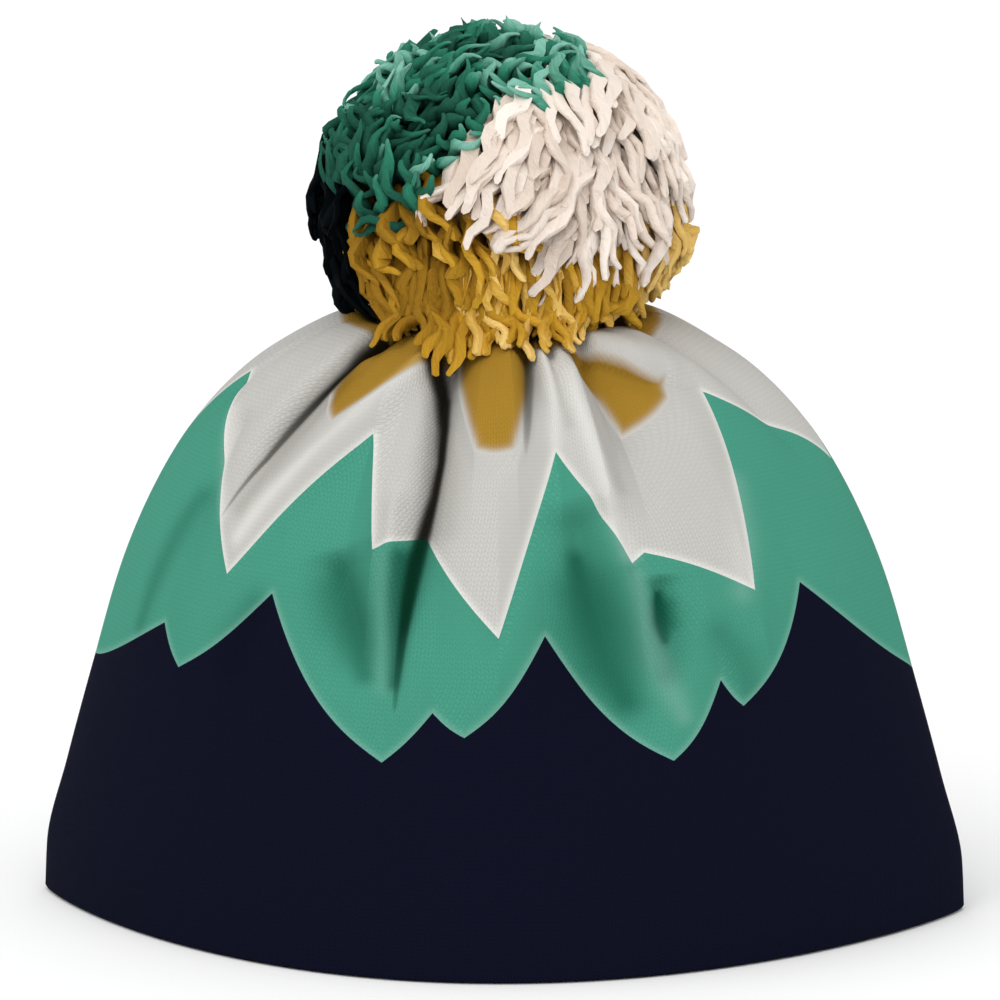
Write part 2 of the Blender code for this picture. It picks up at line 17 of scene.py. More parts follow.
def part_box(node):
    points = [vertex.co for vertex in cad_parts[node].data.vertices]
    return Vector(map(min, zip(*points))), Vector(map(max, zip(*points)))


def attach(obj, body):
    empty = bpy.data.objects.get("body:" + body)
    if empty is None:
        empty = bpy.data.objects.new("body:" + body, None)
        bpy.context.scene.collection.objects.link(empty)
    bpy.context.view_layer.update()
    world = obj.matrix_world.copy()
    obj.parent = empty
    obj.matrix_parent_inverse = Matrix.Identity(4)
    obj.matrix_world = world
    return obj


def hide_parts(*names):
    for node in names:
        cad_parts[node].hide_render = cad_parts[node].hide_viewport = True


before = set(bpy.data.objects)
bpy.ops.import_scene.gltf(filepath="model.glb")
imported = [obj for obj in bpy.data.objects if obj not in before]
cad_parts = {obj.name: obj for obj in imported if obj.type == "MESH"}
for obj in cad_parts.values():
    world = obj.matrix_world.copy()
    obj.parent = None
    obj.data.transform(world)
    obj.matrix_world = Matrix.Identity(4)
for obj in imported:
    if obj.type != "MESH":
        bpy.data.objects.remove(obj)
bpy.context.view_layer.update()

bl_info = {
    "name": "Knitted Hat with Pompom",
    "version": (1, 0, 0),
    "blender": (4, 5, 0),
    "location": "View3D > Sidebar > Hat",
    "description": "Builds the crown, pompom, tie and studio stage of a knitted hat",
    "category": "Add Mesh",
}

HEM_LOW, HEM_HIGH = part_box("crown_navy")
QUARTER_TURN = 90.0
HALF_TURN = 180.0
FULL_TURN = 360.0
MM = 1000.0
TEXTURE = "Knit"

# Up the knitting: share, height as a share of the crown's, then half-width and half-depth
# as shares of the way out from the crest to the hem, and how pointed the sides are
SECTIONS = [
    # share, height, width, depth, point
    (0.00, 0.000, 1.000, 1.000, 1.70),
    (0.08, 0.084, 0.992, 0.995, 1.66),
    (0.20, 0.225, 0.925, 0.960, 1.58),
    (0.34, 0.398, 0.835, 0.895, 1.46),
    (0.48, 0.576, 0.735, 0.800, 1.34),
    (0.60, 0.722, 0.612, 0.665, 1.24),
    (0.70, 0.832, 0.475, 0.510, 1.16),
    (0.80, 0.935, 0.265, 0.290, 1.08),
]
SIDE_ROUNDING = 0.15

# The dish that the pompom sits in, and the crest of knitting round it
SEAT_SHARE, CREST_WIDTH, CREST_RISE = 0.76, 0.0040, 0.0018
CREST_AT, SEAT_AT = 0.890, 0.925
GATHER_RADIUS = 0.0050
DISH_ROWS = 2
SEAT_CLEARANCE = 0.0003

# Where one colour of knitting gives way to the next, petal by petal, round half the hat
GREEN_EDGE = [
    # angle, share, bow
    (0.0, 0.350, 0.030),
    (35.0, 0.500, 0.018),
    (50.6, 0.358, 0.004),
    (53.6, 0.394, 0.012),
    (62.2, 0.299, 0.024),
    (78.8, 0.464, 0.016),
    (90.0, 0.338, 0.003),
    (94.4, 0.368, 0.004),
    (101.0, 0.302, 0.026),
    (121.4, 0.498, 0.012),
    (137.5, 0.382, 0.004),
    (143.5, 0.432, 0.024),
]
CREAM_EDGE = [
    # angle, share, bow
    (0.0, 0.635, 0.000),
    (35.0, 0.768, -0.040),
    (44.6, 0.500, -0.006),
    (62.2, 0.563, 0.000),
    (64.6, 0.550, 0.000),
    (74.8, 0.703, -0.012),
    (85.4, 0.461, 0.004),
    (97.8, 0.590, 0.000),
    (105.6, 0.567, -0.010),
    (110.0, 0.720, -0.006),
    (131.4, 0.512, -0.045),
    (168.0, 0.772, 0.000),
]
MUSTARD_EDGE = [
    # angle, share, bow
    (0.0, 0.872, 0.000),
    (35.0, 0.850, 0.000),
    (44.6, 0.768, 0.004),
    (60.4, 0.722, 0.000),
    (64.6, 0.850, 0.000),
    (74.8, 0.850, 0.000),
    (82.0, 0.704, 0.006),
    (90.0, 0.706, 0.000),
    (97.8, 0.842, 0.000),
    (121.4, 0.732, 0.006),
    (130.8, 0.786, 0.000),
    (132.8, 0.862, 0.000),
]

# Folds of the gathered top, each along a line on the crown. Depth is a share of the fold
# depth, below 0 for a crease.
FOLDS = [
    # from angle, share, to angle, share, depth, width before, width after, bow
    (130.5, 0.94, 137.0, 0.58, -0.85, 1.20, 0.50, -1.5),
    (101.5, 0.86, 131.5, 0.52, 0.50, 0.60, 1.00, 0.0),
    (101.5, 0.94, 100.2, 0.36, -1.00, 0.90, 0.46, -3.0),
    (81.0, 0.86, 84.0, 0.66, 0.35, 0.80, 0.80, 0.0),
    (75.5, 0.94, 78.6, 0.70, -0.60, 0.34, 0.34, 0.5),
    (72.5, 0.86, 74.5, 0.69, 0.34, 0.28, 0.30, 0.0),
    (69.0, 0.94, 71.5, 0.73, -0.34, 0.28, 0.28, 0.0),
    (66.5, 0.86, 61.5, 0.38, 0.70, 0.38, 0.80, 3.5),
    (60.5, 0.94, 63.2, 0.54, -0.50, 1.10, 0.35, 0.0),
    (60.0, 0.535, 61.0, 0.42, -0.60, 0.50, 0.40, 0.0),
    (72.4, 0.64, 67.6, 0.34, -0.80, 1.20, 1.00, 0.0),
    (112.0, 0.565, 103.2, 0.38, -0.70, 0.80, 0.80, 0.0),
    (102.8, 0.66, 101.8, 0.37, 0.36, 0.30, 0.40, 0.0),
    (62.0, 0.85, 33.0, 0.76, -0.45, 0.40, 0.90, 0.0),
    (58.0, 0.86, 22.0, 0.79, 0.40, 0.90, 0.90, 0.0),
    (148.0, 0.74, 139.5, 0.46, -0.28, 0.80, 0.60, 0.0),
    (127.0, 0.86, 139.0, 0.60, 0.28, 0.60, 1.00, 2.0),
    (24.0, 0.93, 17.0, 0.56, -0.30, 0.80, 0.80, 0.0),
    (163.0, 0.93, 165.0, 0.60, -0.25, 0.80, 0.80, 0.0),
]
BACK_FOLD_SHARE = 0.75
CREASE_SHARPNESS, RIDGE_SHARPNESS = 1.5, 2.0
FOLD_START, FOLD_END = 0.12, 0.55
DEEPEST_FOLD, HIGHEST_FOLD = 1.15, 0.60

# Painted shade and painted highlights where the folds show, as lines and patches: a kind, a
# strength, and points with a half-width. A crease is a dark line of painted shade that fades
# where it is narrow, a shade is a soft patch of painted shade and a light is a soft painted highlight.
STROKES = [
    # kind, strength, [(angle, share, half-width in mm)]
    ("crease", 1.00, [
        (127.5, 0.905, 1.7), (132.0, 0.875, 1.6), (131.4, 0.845, 1.5), (130.6, 0.820, 1.4),
        (131.0, 0.790, 1.2), (132.1, 0.752, 1.0), (133.0, 0.716, 0.9), (133.9, 0.672, 0.8),
        (135.2, 0.636, 0.65), (136.4, 0.604, 0.5), (137.2, 0.585, 0.3),
    ]),
    ("crease", 1.00, [
        (105.0, 0.880, 1.2), (104.0, 0.845, 1.7), (101.6, 0.820, 1.9), (99.2, 0.792, 1.8),
        (97.6, 0.748, 1.5), (97.0, 0.700, 1.3), (97.4, 0.650, 1.25), (98.1, 0.600, 1.5),
        (98.8, 0.555, 1.8), (99.2, 0.506, 1.5), (99.5, 0.456, 1.0), (99.6, 0.410, 0.7),
        (99.7, 0.370, 0.4),
    ]),
    ("crease", 0.70, [
        (72.5, 0.890, 0.8), (76.5, 0.840, 1.1), (78.0, 0.800, 1.1), (79.2, 0.760, 1.0),
        (80.0, 0.725, 0.7), (80.4, 0.700, 0.3),
    ]),
    ("crease", 0.45, [(68.6, 0.872, 0.8), (69.2, 0.858, 1.2), (69.4, 0.842, 0.4)]),
    ("shade", 0.54, [
        (111.6, 0.535, 3.0), (110.4, 0.510, 6.2), (108.4, 0.478, 6.4), (106.4, 0.445, 4.8),
        (104.6, 0.410, 2.4),
    ]),
    ("shade", 1.00, [(60.2, 0.510, 1.2), (60.4, 0.494, 2.8), (60.7, 0.472, 3.3), (60.9, 0.450, 1.6)]),
    ("shade", 0.75, [(100.8, 0.560, 2.4), (100.6, 0.520, 2.6), (100.4, 0.460, 2.0), (100.2, 0.400, 1.4)]),
    ("shade", 0.72, [
        (73.0, 0.560, 3.0), (72.4, 0.515, 7.4), (71.4, 0.475, 9.2), (70.2, 0.432, 8.6),
        (68.0, 0.380, 4.4),
    ]),
    ("shade", 0.45, [(60.6, 0.500, 2.4), (61.0, 0.480, 4.6), (61.4, 0.450, 4.8), (61.6, 0.410, 3.0)]),
    ("shade", 0.34, [(127.5, 0.800, 3.0), (129.5, 0.730, 4.0), (131.0, 0.660, 4.0), (133.5, 0.600, 2.4)]),
    ("shade", 0.26, [(66.0, 0.830, 1.6), (66.0, 0.774, 2.2), (65.6, 0.728, 2.4), (64.2, 0.650, 2.0)]),
    ("shade", 0.22, [(96.0, 0.780, 3.0), (94.6, 0.690, 4.0), (94.4, 0.600, 3.0)]),
    ("shade", 0.24, [(71.0, 0.820, 1.2), (71.5, 0.770, 1.6), (71.6, 0.735, 1.2)]),
    ("shade", 0.35, [(124.0, 0.480, 4.0), (126.0, 0.440, 5.0), (127.0, 0.400, 4.0)]),
    ("shade", 0.35, [(146.0, 0.600, 3.0), (148.0, 0.540, 4.4), (150.0, 0.480, 4.0), (151.0, 0.420, 3.0)]),
    ("shade", 0.30, [(52.5, 0.450, 4.0), (50.0, 0.420, 4.4), (49.0, 0.380, 3.6)]),
    ("shade", 0.35, [(58.0, 0.842, 0.8), (52.0, 0.822, 1.2), (46.0, 0.800, 1.0)]),
    ("light", 0.70, [
        (104.6, 0.838, 1.6), (110.0, 0.792, 2.4), (115.2, 0.745, 2.6), (121.0, 0.690, 2.6),
        (127.0, 0.625, 2.4), (131.5, 0.560, 2.0),
    ]),
    ("light", 0.70, [
        (66.8, 0.860, 1.4), (69.6, 0.816, 1.6), (69.4, 0.766, 1.8), (68.4, 0.712, 2.0),
        (67.4, 0.656, 2.2), (66.0, 0.606, 2.2), (64.9, 0.560, 2.2),
    ]),
    ("light", 0.60, [(71.8, 0.860, 1.0), (73.4, 0.800, 1.4), (74.2, 0.756, 1.6), (74.7, 0.715, 1.4)]),
    ("light", 0.30, [
        (64.2, 0.535, 2.2), (63.4, 0.480, 2.6), (62.8, 0.430, 3.0), (61.4, 0.390, 3.0), (60.0, 0.355, 2.4),
    ]),
    ("light", 0.16, [(103.6, 0.560, 1.8), (103.0, 0.500, 2.4), (102.2, 0.440, 2.4), (101.6, 0.395, 1.8)]),
    ("light", 0.45, [(153.0, 0.722, 2.0), (147.0, 0.680, 2.2), (142.5, 0.630, 2.0), (137.0, 0.585, 1.6)]),
    ("light", 0.30, [(41.0, 0.640, 3.0), (44.0, 0.560, 3.4), (47.0, 0.500, 3.0)]),
]

# How far off a crease can be, and where it starts to fade and how fast, in half-widths. It
# shows in full where its half-width is FULL_CREASE millimetres.
CREASE_LIMIT, CREASE_EDGE, CREASE_FADE, FULL_CREASE = 9.0, 2.6, 0.6, 1.3

# Cream knitting folds over the mustard here: above this line, between its ends
COVER_LINE = [
    # angle, share
    (26.0, 0.800),
    (36.0, 0.792),
    (43.5, 0.796),
    (50.0, 0.824),
    (57.0, 0.846),
    (61.0, 0.872),
]
# How far from that line's edge is told, and how far the edge blends, in millimetres
COVER_LIMIT, COVER_BLEND = 6.0, 2.4

# How finely the knitting is laid out
COLUMN_STEP = 0.50
BANDS = [
    # colour, edge below, edge above, rows outside, rows inside
    ("navy", None, GREEN_EDGE, 34, 14),
    ("green", GREEN_EDGE, CREAM_EDGE, 68, 16),
    ("cream", CREAM_EDGE, MUSTARD_EDGE, 72, 16),
    ("mustard", MUSTARD_EDGE, None, 52, 26),
]
HEM_ARC_STEPS, HEM_ARC_SHARE = 8, 0.95
STEP_GATHER = 0.45
FARTHEST = 0.020
WELD_DISTANCE = 1e-6
# Points along a colour's edge lie this close, where a degree is about this long
EDGE_SPACING, EDGE_DEGREE = 0.0003, 0.0014
# Each colour runs on a little way under the one below it
LIP_LENGTH, LIP_DEPTH = 0.0004, 0.00015

# Colours of the knitting: its painted shade in hollows, its painted shade at the bottom of
# creases, and its pale worked edge, which also paints the highlights on ridges; how much of
# the edge shows, and the gloss
KNIT_LOOKS = {
    # shade, crease shadow, rim and highlight, rim share, gloss
    "navy": ((0.003, 0.003, 0.008), (0.002, 0.002, 0.004), (0.020, 0.022, 0.036), 0.0, 0.02),
    "green": ((0.002, 0.080, 0.045), (0.001, 0.026, 0.013), (0.42, 0.62, 0.56), 0.20, 0.04),
    "cream": ((0.22, 0.20, 0.165), (0.011, 0.009, 0.006), (0.86, 0.86, 0.82), 0.45, 0.06),
    "mustard": ((0.13, 0.070, 0.006), (0.012, 0.008, 0.003), (0.62, 0.42, 0.12), 0.0, 0.05),
}
# Colours of the darkest and lightest yarn and of the painted shade in its gaps, the gloss,
# and how much lighter the tips are painted, as highlight, and darker the roots, as shade
YARN_LOOKS = {
    # dark, light, gap shade, gloss, tip highlight
    "navy": ((0.0006, 0.0011, 0.0013), (0.003, 0.005, 0.007), (0.0004, 0.0006, 0.0008), 0.02, 0.0),
    "green": ((0.001, 0.062, 0.034), (0.22, 0.50, 0.40), (0.0005, 0.022, 0.013), 0.10, 0.9),
    "cream": ((0.66, 0.54, 0.45), (0.93, 0.84, 0.76), (0.24, 0.145, 0.095), 0.08, 0.22),
    "mustard": ((0.27, 0.130, 0.003), (0.84, 0.58, 0.19), (0.085, 0.030, 0.001), 0.08, 0.35),
    "tie": ((0.012, 0.013, 0.018), (0.035, 0.037, 0.05), (0.008, 0.008, 0.011), 0.05, 0.0),
}
TIE_COLOUR = (0.020, 0.021, 0.030)
NOISE_DETAIL = 3.0
# How far a stitch's legs slant, how plump they are, and how deep stitches and fibres show
STITCH_SLANT, LEG_PLUMP, WALE_PLUMP = 0.70, 0.6, 0.5
KNIT_BUMP, YARN_BUMP = 0.00032, 0.00045

# The pompom's colours: navy fills the cap that faces NAVY_FACES, and the others are
# sectors round a line along SECTOR_LINE, each from one angle to the next
NAVY_FACES = Vector((-0.66, 0.55, -0.51)).normalized()
NAVY_CAP_SHARE = 0.38
SECTOR_LINE = Vector((-0.526, -0.849, -0.037)).normalized()
SECTORS = {
    # colour: first angle, last angle
    "cream": (-25.0, 40.0),
    "green": (40.0, 196.0),
    "mustard": (-164.0, -25.0),
}

# Where green yarn gives way to cream, and cream to mustard, as angles round SECTOR_LINE,
# by how far from that line, in degrees
CREAM_TOP = [
    # from the line, angle
    (0.0, 150.0),
    (5.0, 128.0),
    (10.0, 68.0),
    (16.0, 42.0),
    (27.0, 42.0),
    (38.0, 44.0),
    (47.0, 51.0),
    (57.0, 52.0),
    (68.0, 45.0),
    (90.0, 44.0),
    (98.0, 52.0),
    (108.0, 76.0),
    (125.0, 95.0),
    (180.0, 95.0),
]
CREAM_FOOT = [
    # from the line, angle
    (0.0, 150.0),
    (8.0, 86.0),
    (14.0, 40.0),
    (21.0, 27.0),
    (30.0, 20.0),
    (39.0, 11.0),
    (43.0, -4.0),
    (52.0, -14.0),
    (69.0, -17.0),
    (83.0, -7.0),
    (110.0, -4.0),
    (180.0, -25.0),
]
# The ball's skin lies this much nearer at the top than at the sides, as a share
TOP_FLATNESS = 0.065

# Navy also shows at the far left: left of NAVY_SIDE, which leans a little, in front of
# NAVY_SIDE_BACK and below NAVY_SIDE_TOP, as shares of the radius from the pompom's middle
NAVY_SIDE, NAVY_SIDE_LEAN, NAVY_SIDE_BACK, NAVY_SIDE_TOP = -0.74, 0.05, 0.20, 0.19

# How each colour of yarn lies: the way it flows, how far it strays from that, in radians,
# how far it lies over, in radians, its crimp and width as shares, and how its tip tapers
YARN_LIES = {
    # flow x, y, z, stray, lay least, lay most, crimp, width, taper
    "navy": (0.0, 0.0, -1.0, 0.50, 0.35, 0.70, 0.7, 1.08, 0.50),
    "green": (-0.12, 0.50, 0.80, 0.55, 0.08, 0.42, 0.75, 1.04, 0.32),
    "cream": (-0.10, 0.00, -1.00, 0.17, 0.45, 0.85, 0.75, 1.12, 0.74),
    "mustard": (0.00, 0.00, -1.00, 0.26, 0.30, 0.62, 1.05, 1.10, 0.70),
}
# How much of each colour's yarn is laid, how unevenly it reaches and how unevenly it is dyed
YARN_LAID = {"navy": 0.54, "green": 1.00, "cream": 0.80, "mustard": 0.85}
REACH_WAVES = {"navy": 0.020, "green": 0.042, "cream": 0.030, "mustard": 0.034}
TINT_WAVES = {"navy": 0.15, "green": 0.34, "cream": 0.16, "mustard": 0.30}
# How far the yarn's two plies twist in one turn, in millimetres, and how deep they show
PLY_LENGTH, PLY_DEPTH = 11.0, 0.16
# How finely a strand is laid out, its last ring but one, and its width along it
STRAND_RINGS, STRAND_SIDES = 14, 6
TIP_RING = 0.975
STRAND_PROFILE = [
    # share along, width
    (0.0, 0.7),
    (0.12, 1.0),
    (0.80, 1.0),
    (TIP_RING, 0.8),
    (1.0, 0.3),
]
# Its taper starts here, and takes this much of the strand
TAPER_FROM, TAPER_OVER = 0.45, 0.55
# A direction that no strand follows, to turn the strands' sides from
ODD_WAY = np.array([0.31, 0.17, 0.93])
# Where strands start and end, how unevenly, and how short they get, as shares of the
# pompom's radius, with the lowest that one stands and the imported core
ROOT_REACH, TIP_REACH, TIP_SPREAD, LEAST_REACH = 0.76, 0.955, 0.035, 0.84
LOWEST_STRAND, CORE_REACH = -0.54, 0.80
# How a strand leans back before it lies over, and how soon it does
LEAN_BACK, LEAN_POWER = 0.60, 1.3
# Uneven fields over the ball: how many waves, and how close in lie, clumps and dye
WAVE_COUNT = 7
LIE_PITCH, CLUMP_PITCH, TINT_PITCH = 7.0, 15.0, 9.0
LIE_WAVES = 1.4
TINT_SPREAD = (2.0, 2.4)
SEED_STEP = 7
# Lighter towards the right and towards the top, as painted light, and lighter all over, as
# shares of the yarn's range
TINT_BIAS = {
    "navy": (0.0, 0.0, -0.10),
    "green": (0.42, 0.10, 0.10),
    "cream": (0.15, 0.0, 0.00),
    "mustard": (0.90, 0.0, -0.12),
}
# How much weaker the painted shade in the gaps is on the right
RIGHT_CALM = {"navy": 0.0, "green": 0.0, "cream": 0.70, "mustard": 0.80}
CALM_FROM, CALM_OVER = 0.10, 0.50
# Painted shade darkens the yarn from this far below the ball's skin, over this much more
GAP_FROM, GAP_OVER = 0.0018, 0.0056
# At its lower left the cream yarn is swept over the mustard, from these shares of the radius
# to the right and up, and over this much more
SWEEP_FLOW = (-1.0, 0.0, -0.55)
SWEEP_RIGHT, SWEEP_WIDTH = 0.16, 0.45
SWEEP_TOP, SWEEP_HEIGHT = 0.5, 0.5

# How far down the crown the loose yarn hangs, by angle round half the hat
SKIRT_ENDS = [
    # angle, share
    (40.0, 0.884),
    (54.0, 0.878),
    (62.0, 0.864),
    (76.0, 0.856),
    (84.0, 0.858),
    (92.0, 0.850),
    (96.0, 0.820),
    (100.0, 0.828),
    (104.0, 0.842),
    (112.0, 0.858),
    (128.0, 0.876),
]
SKIRT_STRANDS, SKIRT_SPREAD, SKIRT_TAPER = 62, 0.014, 0.62
SKIRT_START = CREST_AT - 0.004
# A loose strand leaves the ball through these places
HANG_ROOTS = [
    # degrees below the level, share of the pompom's radius
    (8.0, 0.82),
    (18.0, 0.93),
    (27.0, 0.975),
]
# It then lies on the crown at these shares of the way from the crest to its end
HANG_PARTS = (0.45, 0.75, 1.0)

# Thin wisps that stand out of the pompom's top: their ends, as shares of its radius
WISPS = [
    # x, y, z
    (-0.215, 0.00, 0.955),
    (-0.380, 0.00, 0.885),
    (0.020, 0.00, 0.965),
    (-0.620, 0.02, 0.720),
    (0.200, 0.05, 0.930),
    (-0.100, 0.22, 0.930),
    (-0.780, 0.05, 0.520),
]
WISP_RADIUS, WISP_TAPER, WISP_SWAY = 0.0017, 0.12, 0.0010

# The knot that holds the pompom inside, as loops of yarn round the stem
KNOT_HEIGHT, TIE_YARN_RADIUS = 0.0060, 0.0016
KNOT_LOOPS = [
    # drop, reach, tilt about x, tilt about y
    (0.30, 0.62, 0.10, -0.12),
    (0.52, 0.80, -0.16, 0.10),
    (0.74, 0.66, 0.14, 0.16),
    (0.86, 0.34, -0.30, 0.20),
]
STEM_STRANDS = 3

# The studio
FLOOR_SIZE, FLOOR_DROP, FLOOR_COLOUR = 60.0, 0.0002, (0.93, 0.93, 0.93)
LIGHTS = [
    # name, place, size
    ("key", (-1.3, -2.2, 1.7), 1.6),
    ("fill", (2.0, -1.7, 0.9), 1.8),
]
LIGHT_AIM = Vector((0.0, 0.0, 0.09))
SUN_AIM, SUN_PLACE, SUN_SPREAD = Vector((0.15, 0.35, -1.0)), (0.0, 0.0, 3.0), 70.0
CAMERA_TARGET = Vector((-0.0004, 0.0, 0.0900))
SENSOR_WIDTH = 36.0
CAMERA_NEAR, CAMERA_FAR = 0.05, 100.0


def steady_slopes(places, values):
    """Slopes of a curve through the values that never overshoots them."""
    steps = [b - a for a, b in zip(places, places[1:])]
    rises = [(b - a) / h for a, b, h in zip(values, values[1:], steps)]
    slopes = [rises[0]]
    for k in range(1, len(places) - 1):
        before, after = rises[k - 1], rises[k]
        if before * after <= 0.0:
            slopes.append(0.0)
            continue
        first = 2.0 * steps[k] + steps[k - 1]
        second = steps[k] + 2.0 * steps[k - 1]
        slopes.append((first + second) / (first / before + second / after))
    slopes.append(rises[-1])
    return slopes


def smooth_step(x):
    x = np.clip(x, 0.0, 1.0)
    return x * x * (3.0 - 2.0 * x)


def unit(vectors):
    return vectors / np.maximum(np.linalg.norm(vectors, axis=-1, keepdims=True), 1e-12)


def table_value(table, place):
    """The value at a place between the rows of a table of places and values."""
    columns = np.array(table).T
    return np.interp(place, columns[0], columns[1])


def both_halves(angle):
    """The angles as each half of the hat has them, and how strongly its folds show."""
    for start, strength in ((0.0, 1.0), (HALF_TURN, BACK_FOLD_SHARE)):
        yield (angle - start + QUARTER_TURN) % FULL_TURN - QUARTER_TURN, strength


def flatness(height):
    """How far out the ball's skin lies at this share of its height, as a share."""
    return 1.0 - TOP_FLATNESS * np.maximum(height, 0.0) ** 2


class Curve:
    """A smooth curve through (place, value) pairs, for whole arrays of places."""

    def __init__(self, places, values):
        self.places = np.array(places)
        self.values = np.array(values)
        self.slopes = np.array(steady_slopes(places, values))

    def at(self, place):
        place = np.clip(place, self.places[0], self.places[-1])
        k = np.searchsorted(self.places, place, side="right") - 1
        k = np.clip(k, 0, len(self.places) - 2)
        step = self.places[k + 1] - self.places[k]
        x = (place - self.places[k]) / step
        return (
            (2 * x**3 - 3 * x**2 + 1) * self.values[k]
            + (x**3 - 2 * x**2 + x) * step * self.slopes[k]
            + (3 * x**2 - 2 * x**3) * self.values[k + 1]
            + (x**3 - x**2) * step * self.slopes[k + 1]
        )


class Crown:
    """The shape of the crown, worked out from the hat's sizes."""

    def __init__(self, sizes):
        self.sizes = sizes
        self.seat_radius = SEAT_SHARE * sizes.head_radius
        self.crest_radius = self.seat_radius + CREST_WIDTH
        half_turn = math.asin(SEAT_SHARE) - math.asin(GATHER_RADIUS / sizes.head_radius)
        self.dish_radius = (sizes.head_radius + SEAT_CLEARANCE) / math.cos(
            half_turn / (2 * DISH_ROWS)
        )
        sink = math.sqrt(self.dish_radius**2 - self.seat_radius**2)
        self.pompom_height = sizes.crown_height - CREST_RISE + sink
        self.pompom_middle = np.array([0.0, 0.0, self.pompom_height])
        rows = self.full_sections()
        shares = [row[0] for row in rows]
        self.height = Curve(shares, [row[1] for row in rows])
        self.width = Curve(shares, [row[2] for row in rows])
        self.depth = Curve(shares, [row[3] for row in rows])
        self.point = Curve(shares, [row[4] for row in rows])
        self.length = sum(
            math.hypot(b[1] - a[1], (b[2] + b[3] - a[2] - a[3]) / 2)
            for a, b in zip(rows, rows[1:])
        )

    def dish_height(self, radius):
        return self.pompom_height - math.sqrt(self.dish_radius**2 - radius**2)

    def full_sections(self):
        """Rows of (share, height, half-width, half-depth, point) from hem to gather."""
        tall, crest = self.sizes.crown_height, self.crest_radius
        rows = []
        for share, height, width, depth, point in SECTIONS:
            half_width = crest + (self.sizes.hem_width / 2 - crest) * width
            half_depth = crest + (self.sizes.hem_depth / 2 - crest) * depth
            rows.append((share, tall * height, half_width, half_depth, point))
        rows.append((CREST_AT, tall, crest, crest, 1.0))
        widest = math.asin(self.seat_radius / self.dish_radius)
        narrowest = math.asin(GATHER_RADIUS / self.dish_radius)
        for k in range(DISH_ROWS + 1):
            turn = widest + (narrowest - widest) * k / DISH_ROWS
            radius = self.dish_radius * math.sin(turn)
            share = SEAT_AT + (1.0 - SEAT_AT) * k / DISH_ROWS
            rows.append((share, self.dish_height(radius), radius, radius, 1.0))
        return rows

    def ring_point(self, angle, half_width, half_depth, point, height):
        """Points on level rings: ovals whose sides come to a soft point."""
        turn = np.radians(angle)
        sine = np.sin(turn)
        rounded = (sine**2 + SIDE_ROUNDING**2) / (1.0 + SIDE_ROUNDING**2)
        reach = half_depth * sine * rounded ** ((point - 1.0) / 2)
        return np.stack([half_width * np.cos(turn), -reach, height + 0.0 * turn], axis=-1)

    def smooth_point(self, angle, share):
        return self.ring_point(
            angle,
            self.width.at(share),
            self.depth.at(share),
            self.point.at(share),
            self.height.at(share),
        )

    def outward(self, angle, share):
        """The direction straight out of the unfolded crown, and level at the hem."""
        turn, climb, square_hem = 0.5, 0.004, 0.1
        low, high = np.maximum(0.0, share - climb), np.minimum(1.0, share + climb)
        around = self.smooth_point(angle + turn, share) - self.smooth_point(angle - turn, share)
        upward = self.smooth_point(angle, high) - self.smooth_point(angle, low)
        direction = unit(np.cross(upward, around))
        direction[..., 2] *= smooth_step(share / square_hem)
        return unit(direction)

    def per_degree(self, share):
        """How far one degree runs round the crown."""
        return math.radians(1.0) * (self.width.at(share) + self.depth.at(share)) / 2

    def fold_line(self, fold, angle, share):
        """How far across (metres, signed) and along (0 to 1) a fold's line places lie."""
        angle_0, share_0, angle_1, share_1 = fold[:4]
        bow = fold[7]
        per_degree = self.per_degree((share_0 + share_1) / 2)
        run = (angle_1 - angle_0) * per_degree
        rise = (share_1 - share_0) * self.length
        x = (angle - angle_0) * per_degree
        y = (share - share_0) * self.length
        length = math.hypot(run, rise)
        along = (x * run + y * rise) / length**2
        bulge = bow * per_degree * 4.0 * along * (1.0 - along)
        return -(x * rise - y * run) / length - bulge, along

    def relief(self, angle, share):
        """How far the folds lift the knitting off the smooth crown."""
        total = np.zeros(np.broadcast(angle, share).shape)
        for local, strength in both_halves(angle):
            for fold in FOLDS:
                depth, before, after = fold[4:7]
                across, along = self.fold_line(fold, local, share)
                width = self.sizes.fold_width * np.where(across > 0.0, after, before)
                sharpness = CREASE_SHARPNESS if depth < 0.0 else RIDGE_SHARPNESS
                profile = np.exp(-((np.abs(across) / width) ** sharpness))
                fade = smooth_step(along / FOLD_START) * smooth_step((1.0 - along) / FOLD_END)
                total += strength * depth * profile * fade
        keep = smooth_step((SEAT_AT - share) / (SEAT_AT - CREST_AT))
        return keep * self.sizes.fold_depth * np.clip(total, -DEEPEST_FOLD, HIGHEST_FOLD)

    def flat_map(self, angle, share, middle):
        """Places laid out flat round a middle angle, in millimetres."""
        return (angle - middle) * self.per_degree(share) * MM, share * self.length * MM

    def along_stroke(self, points, angle, share):
        """The signed distance from a stroke's line over its half-width, and that width."""
        line = np.array(points)
        middle = line[:, 0].mean()
        x, y = self.flat_map(angle, share, middle)
        line_x, line_y = self.flat_map(line[:, 0], line[:, 1], middle)
        nearest = np.full(x.shape, 1e6)
        signed = np.full(x.shape, 1e6)
        width = np.ones(x.shape)
        for k in range(len(line) - 1):
            run, rise = line_x[k + 1] - line_x[k], line_y[k + 1] - line_y[k]
            square = run * run + rise * rise
            along = ((x - line_x[k]) * run + (y - line_y[k]) * rise) / square
            along = np.clip(along, 0.0, 1.0)
            away_x = x - line_x[k] - along * run
            away_y = y - line_y[k] - along * rise
            half_width = line[k, 2] + (line[k + 1, 2] - line[k, 2]) * along
            away = np.hypot(away_x, away_y) / half_width
            closer = away < nearest
            side = np.sign(away_x * rise - away_y * run)
            signed = np.where(closer, away * side, signed)
            width = np.where(closer, half_width, width)
            nearest = np.where(closer, away, nearest)
        return signed, width

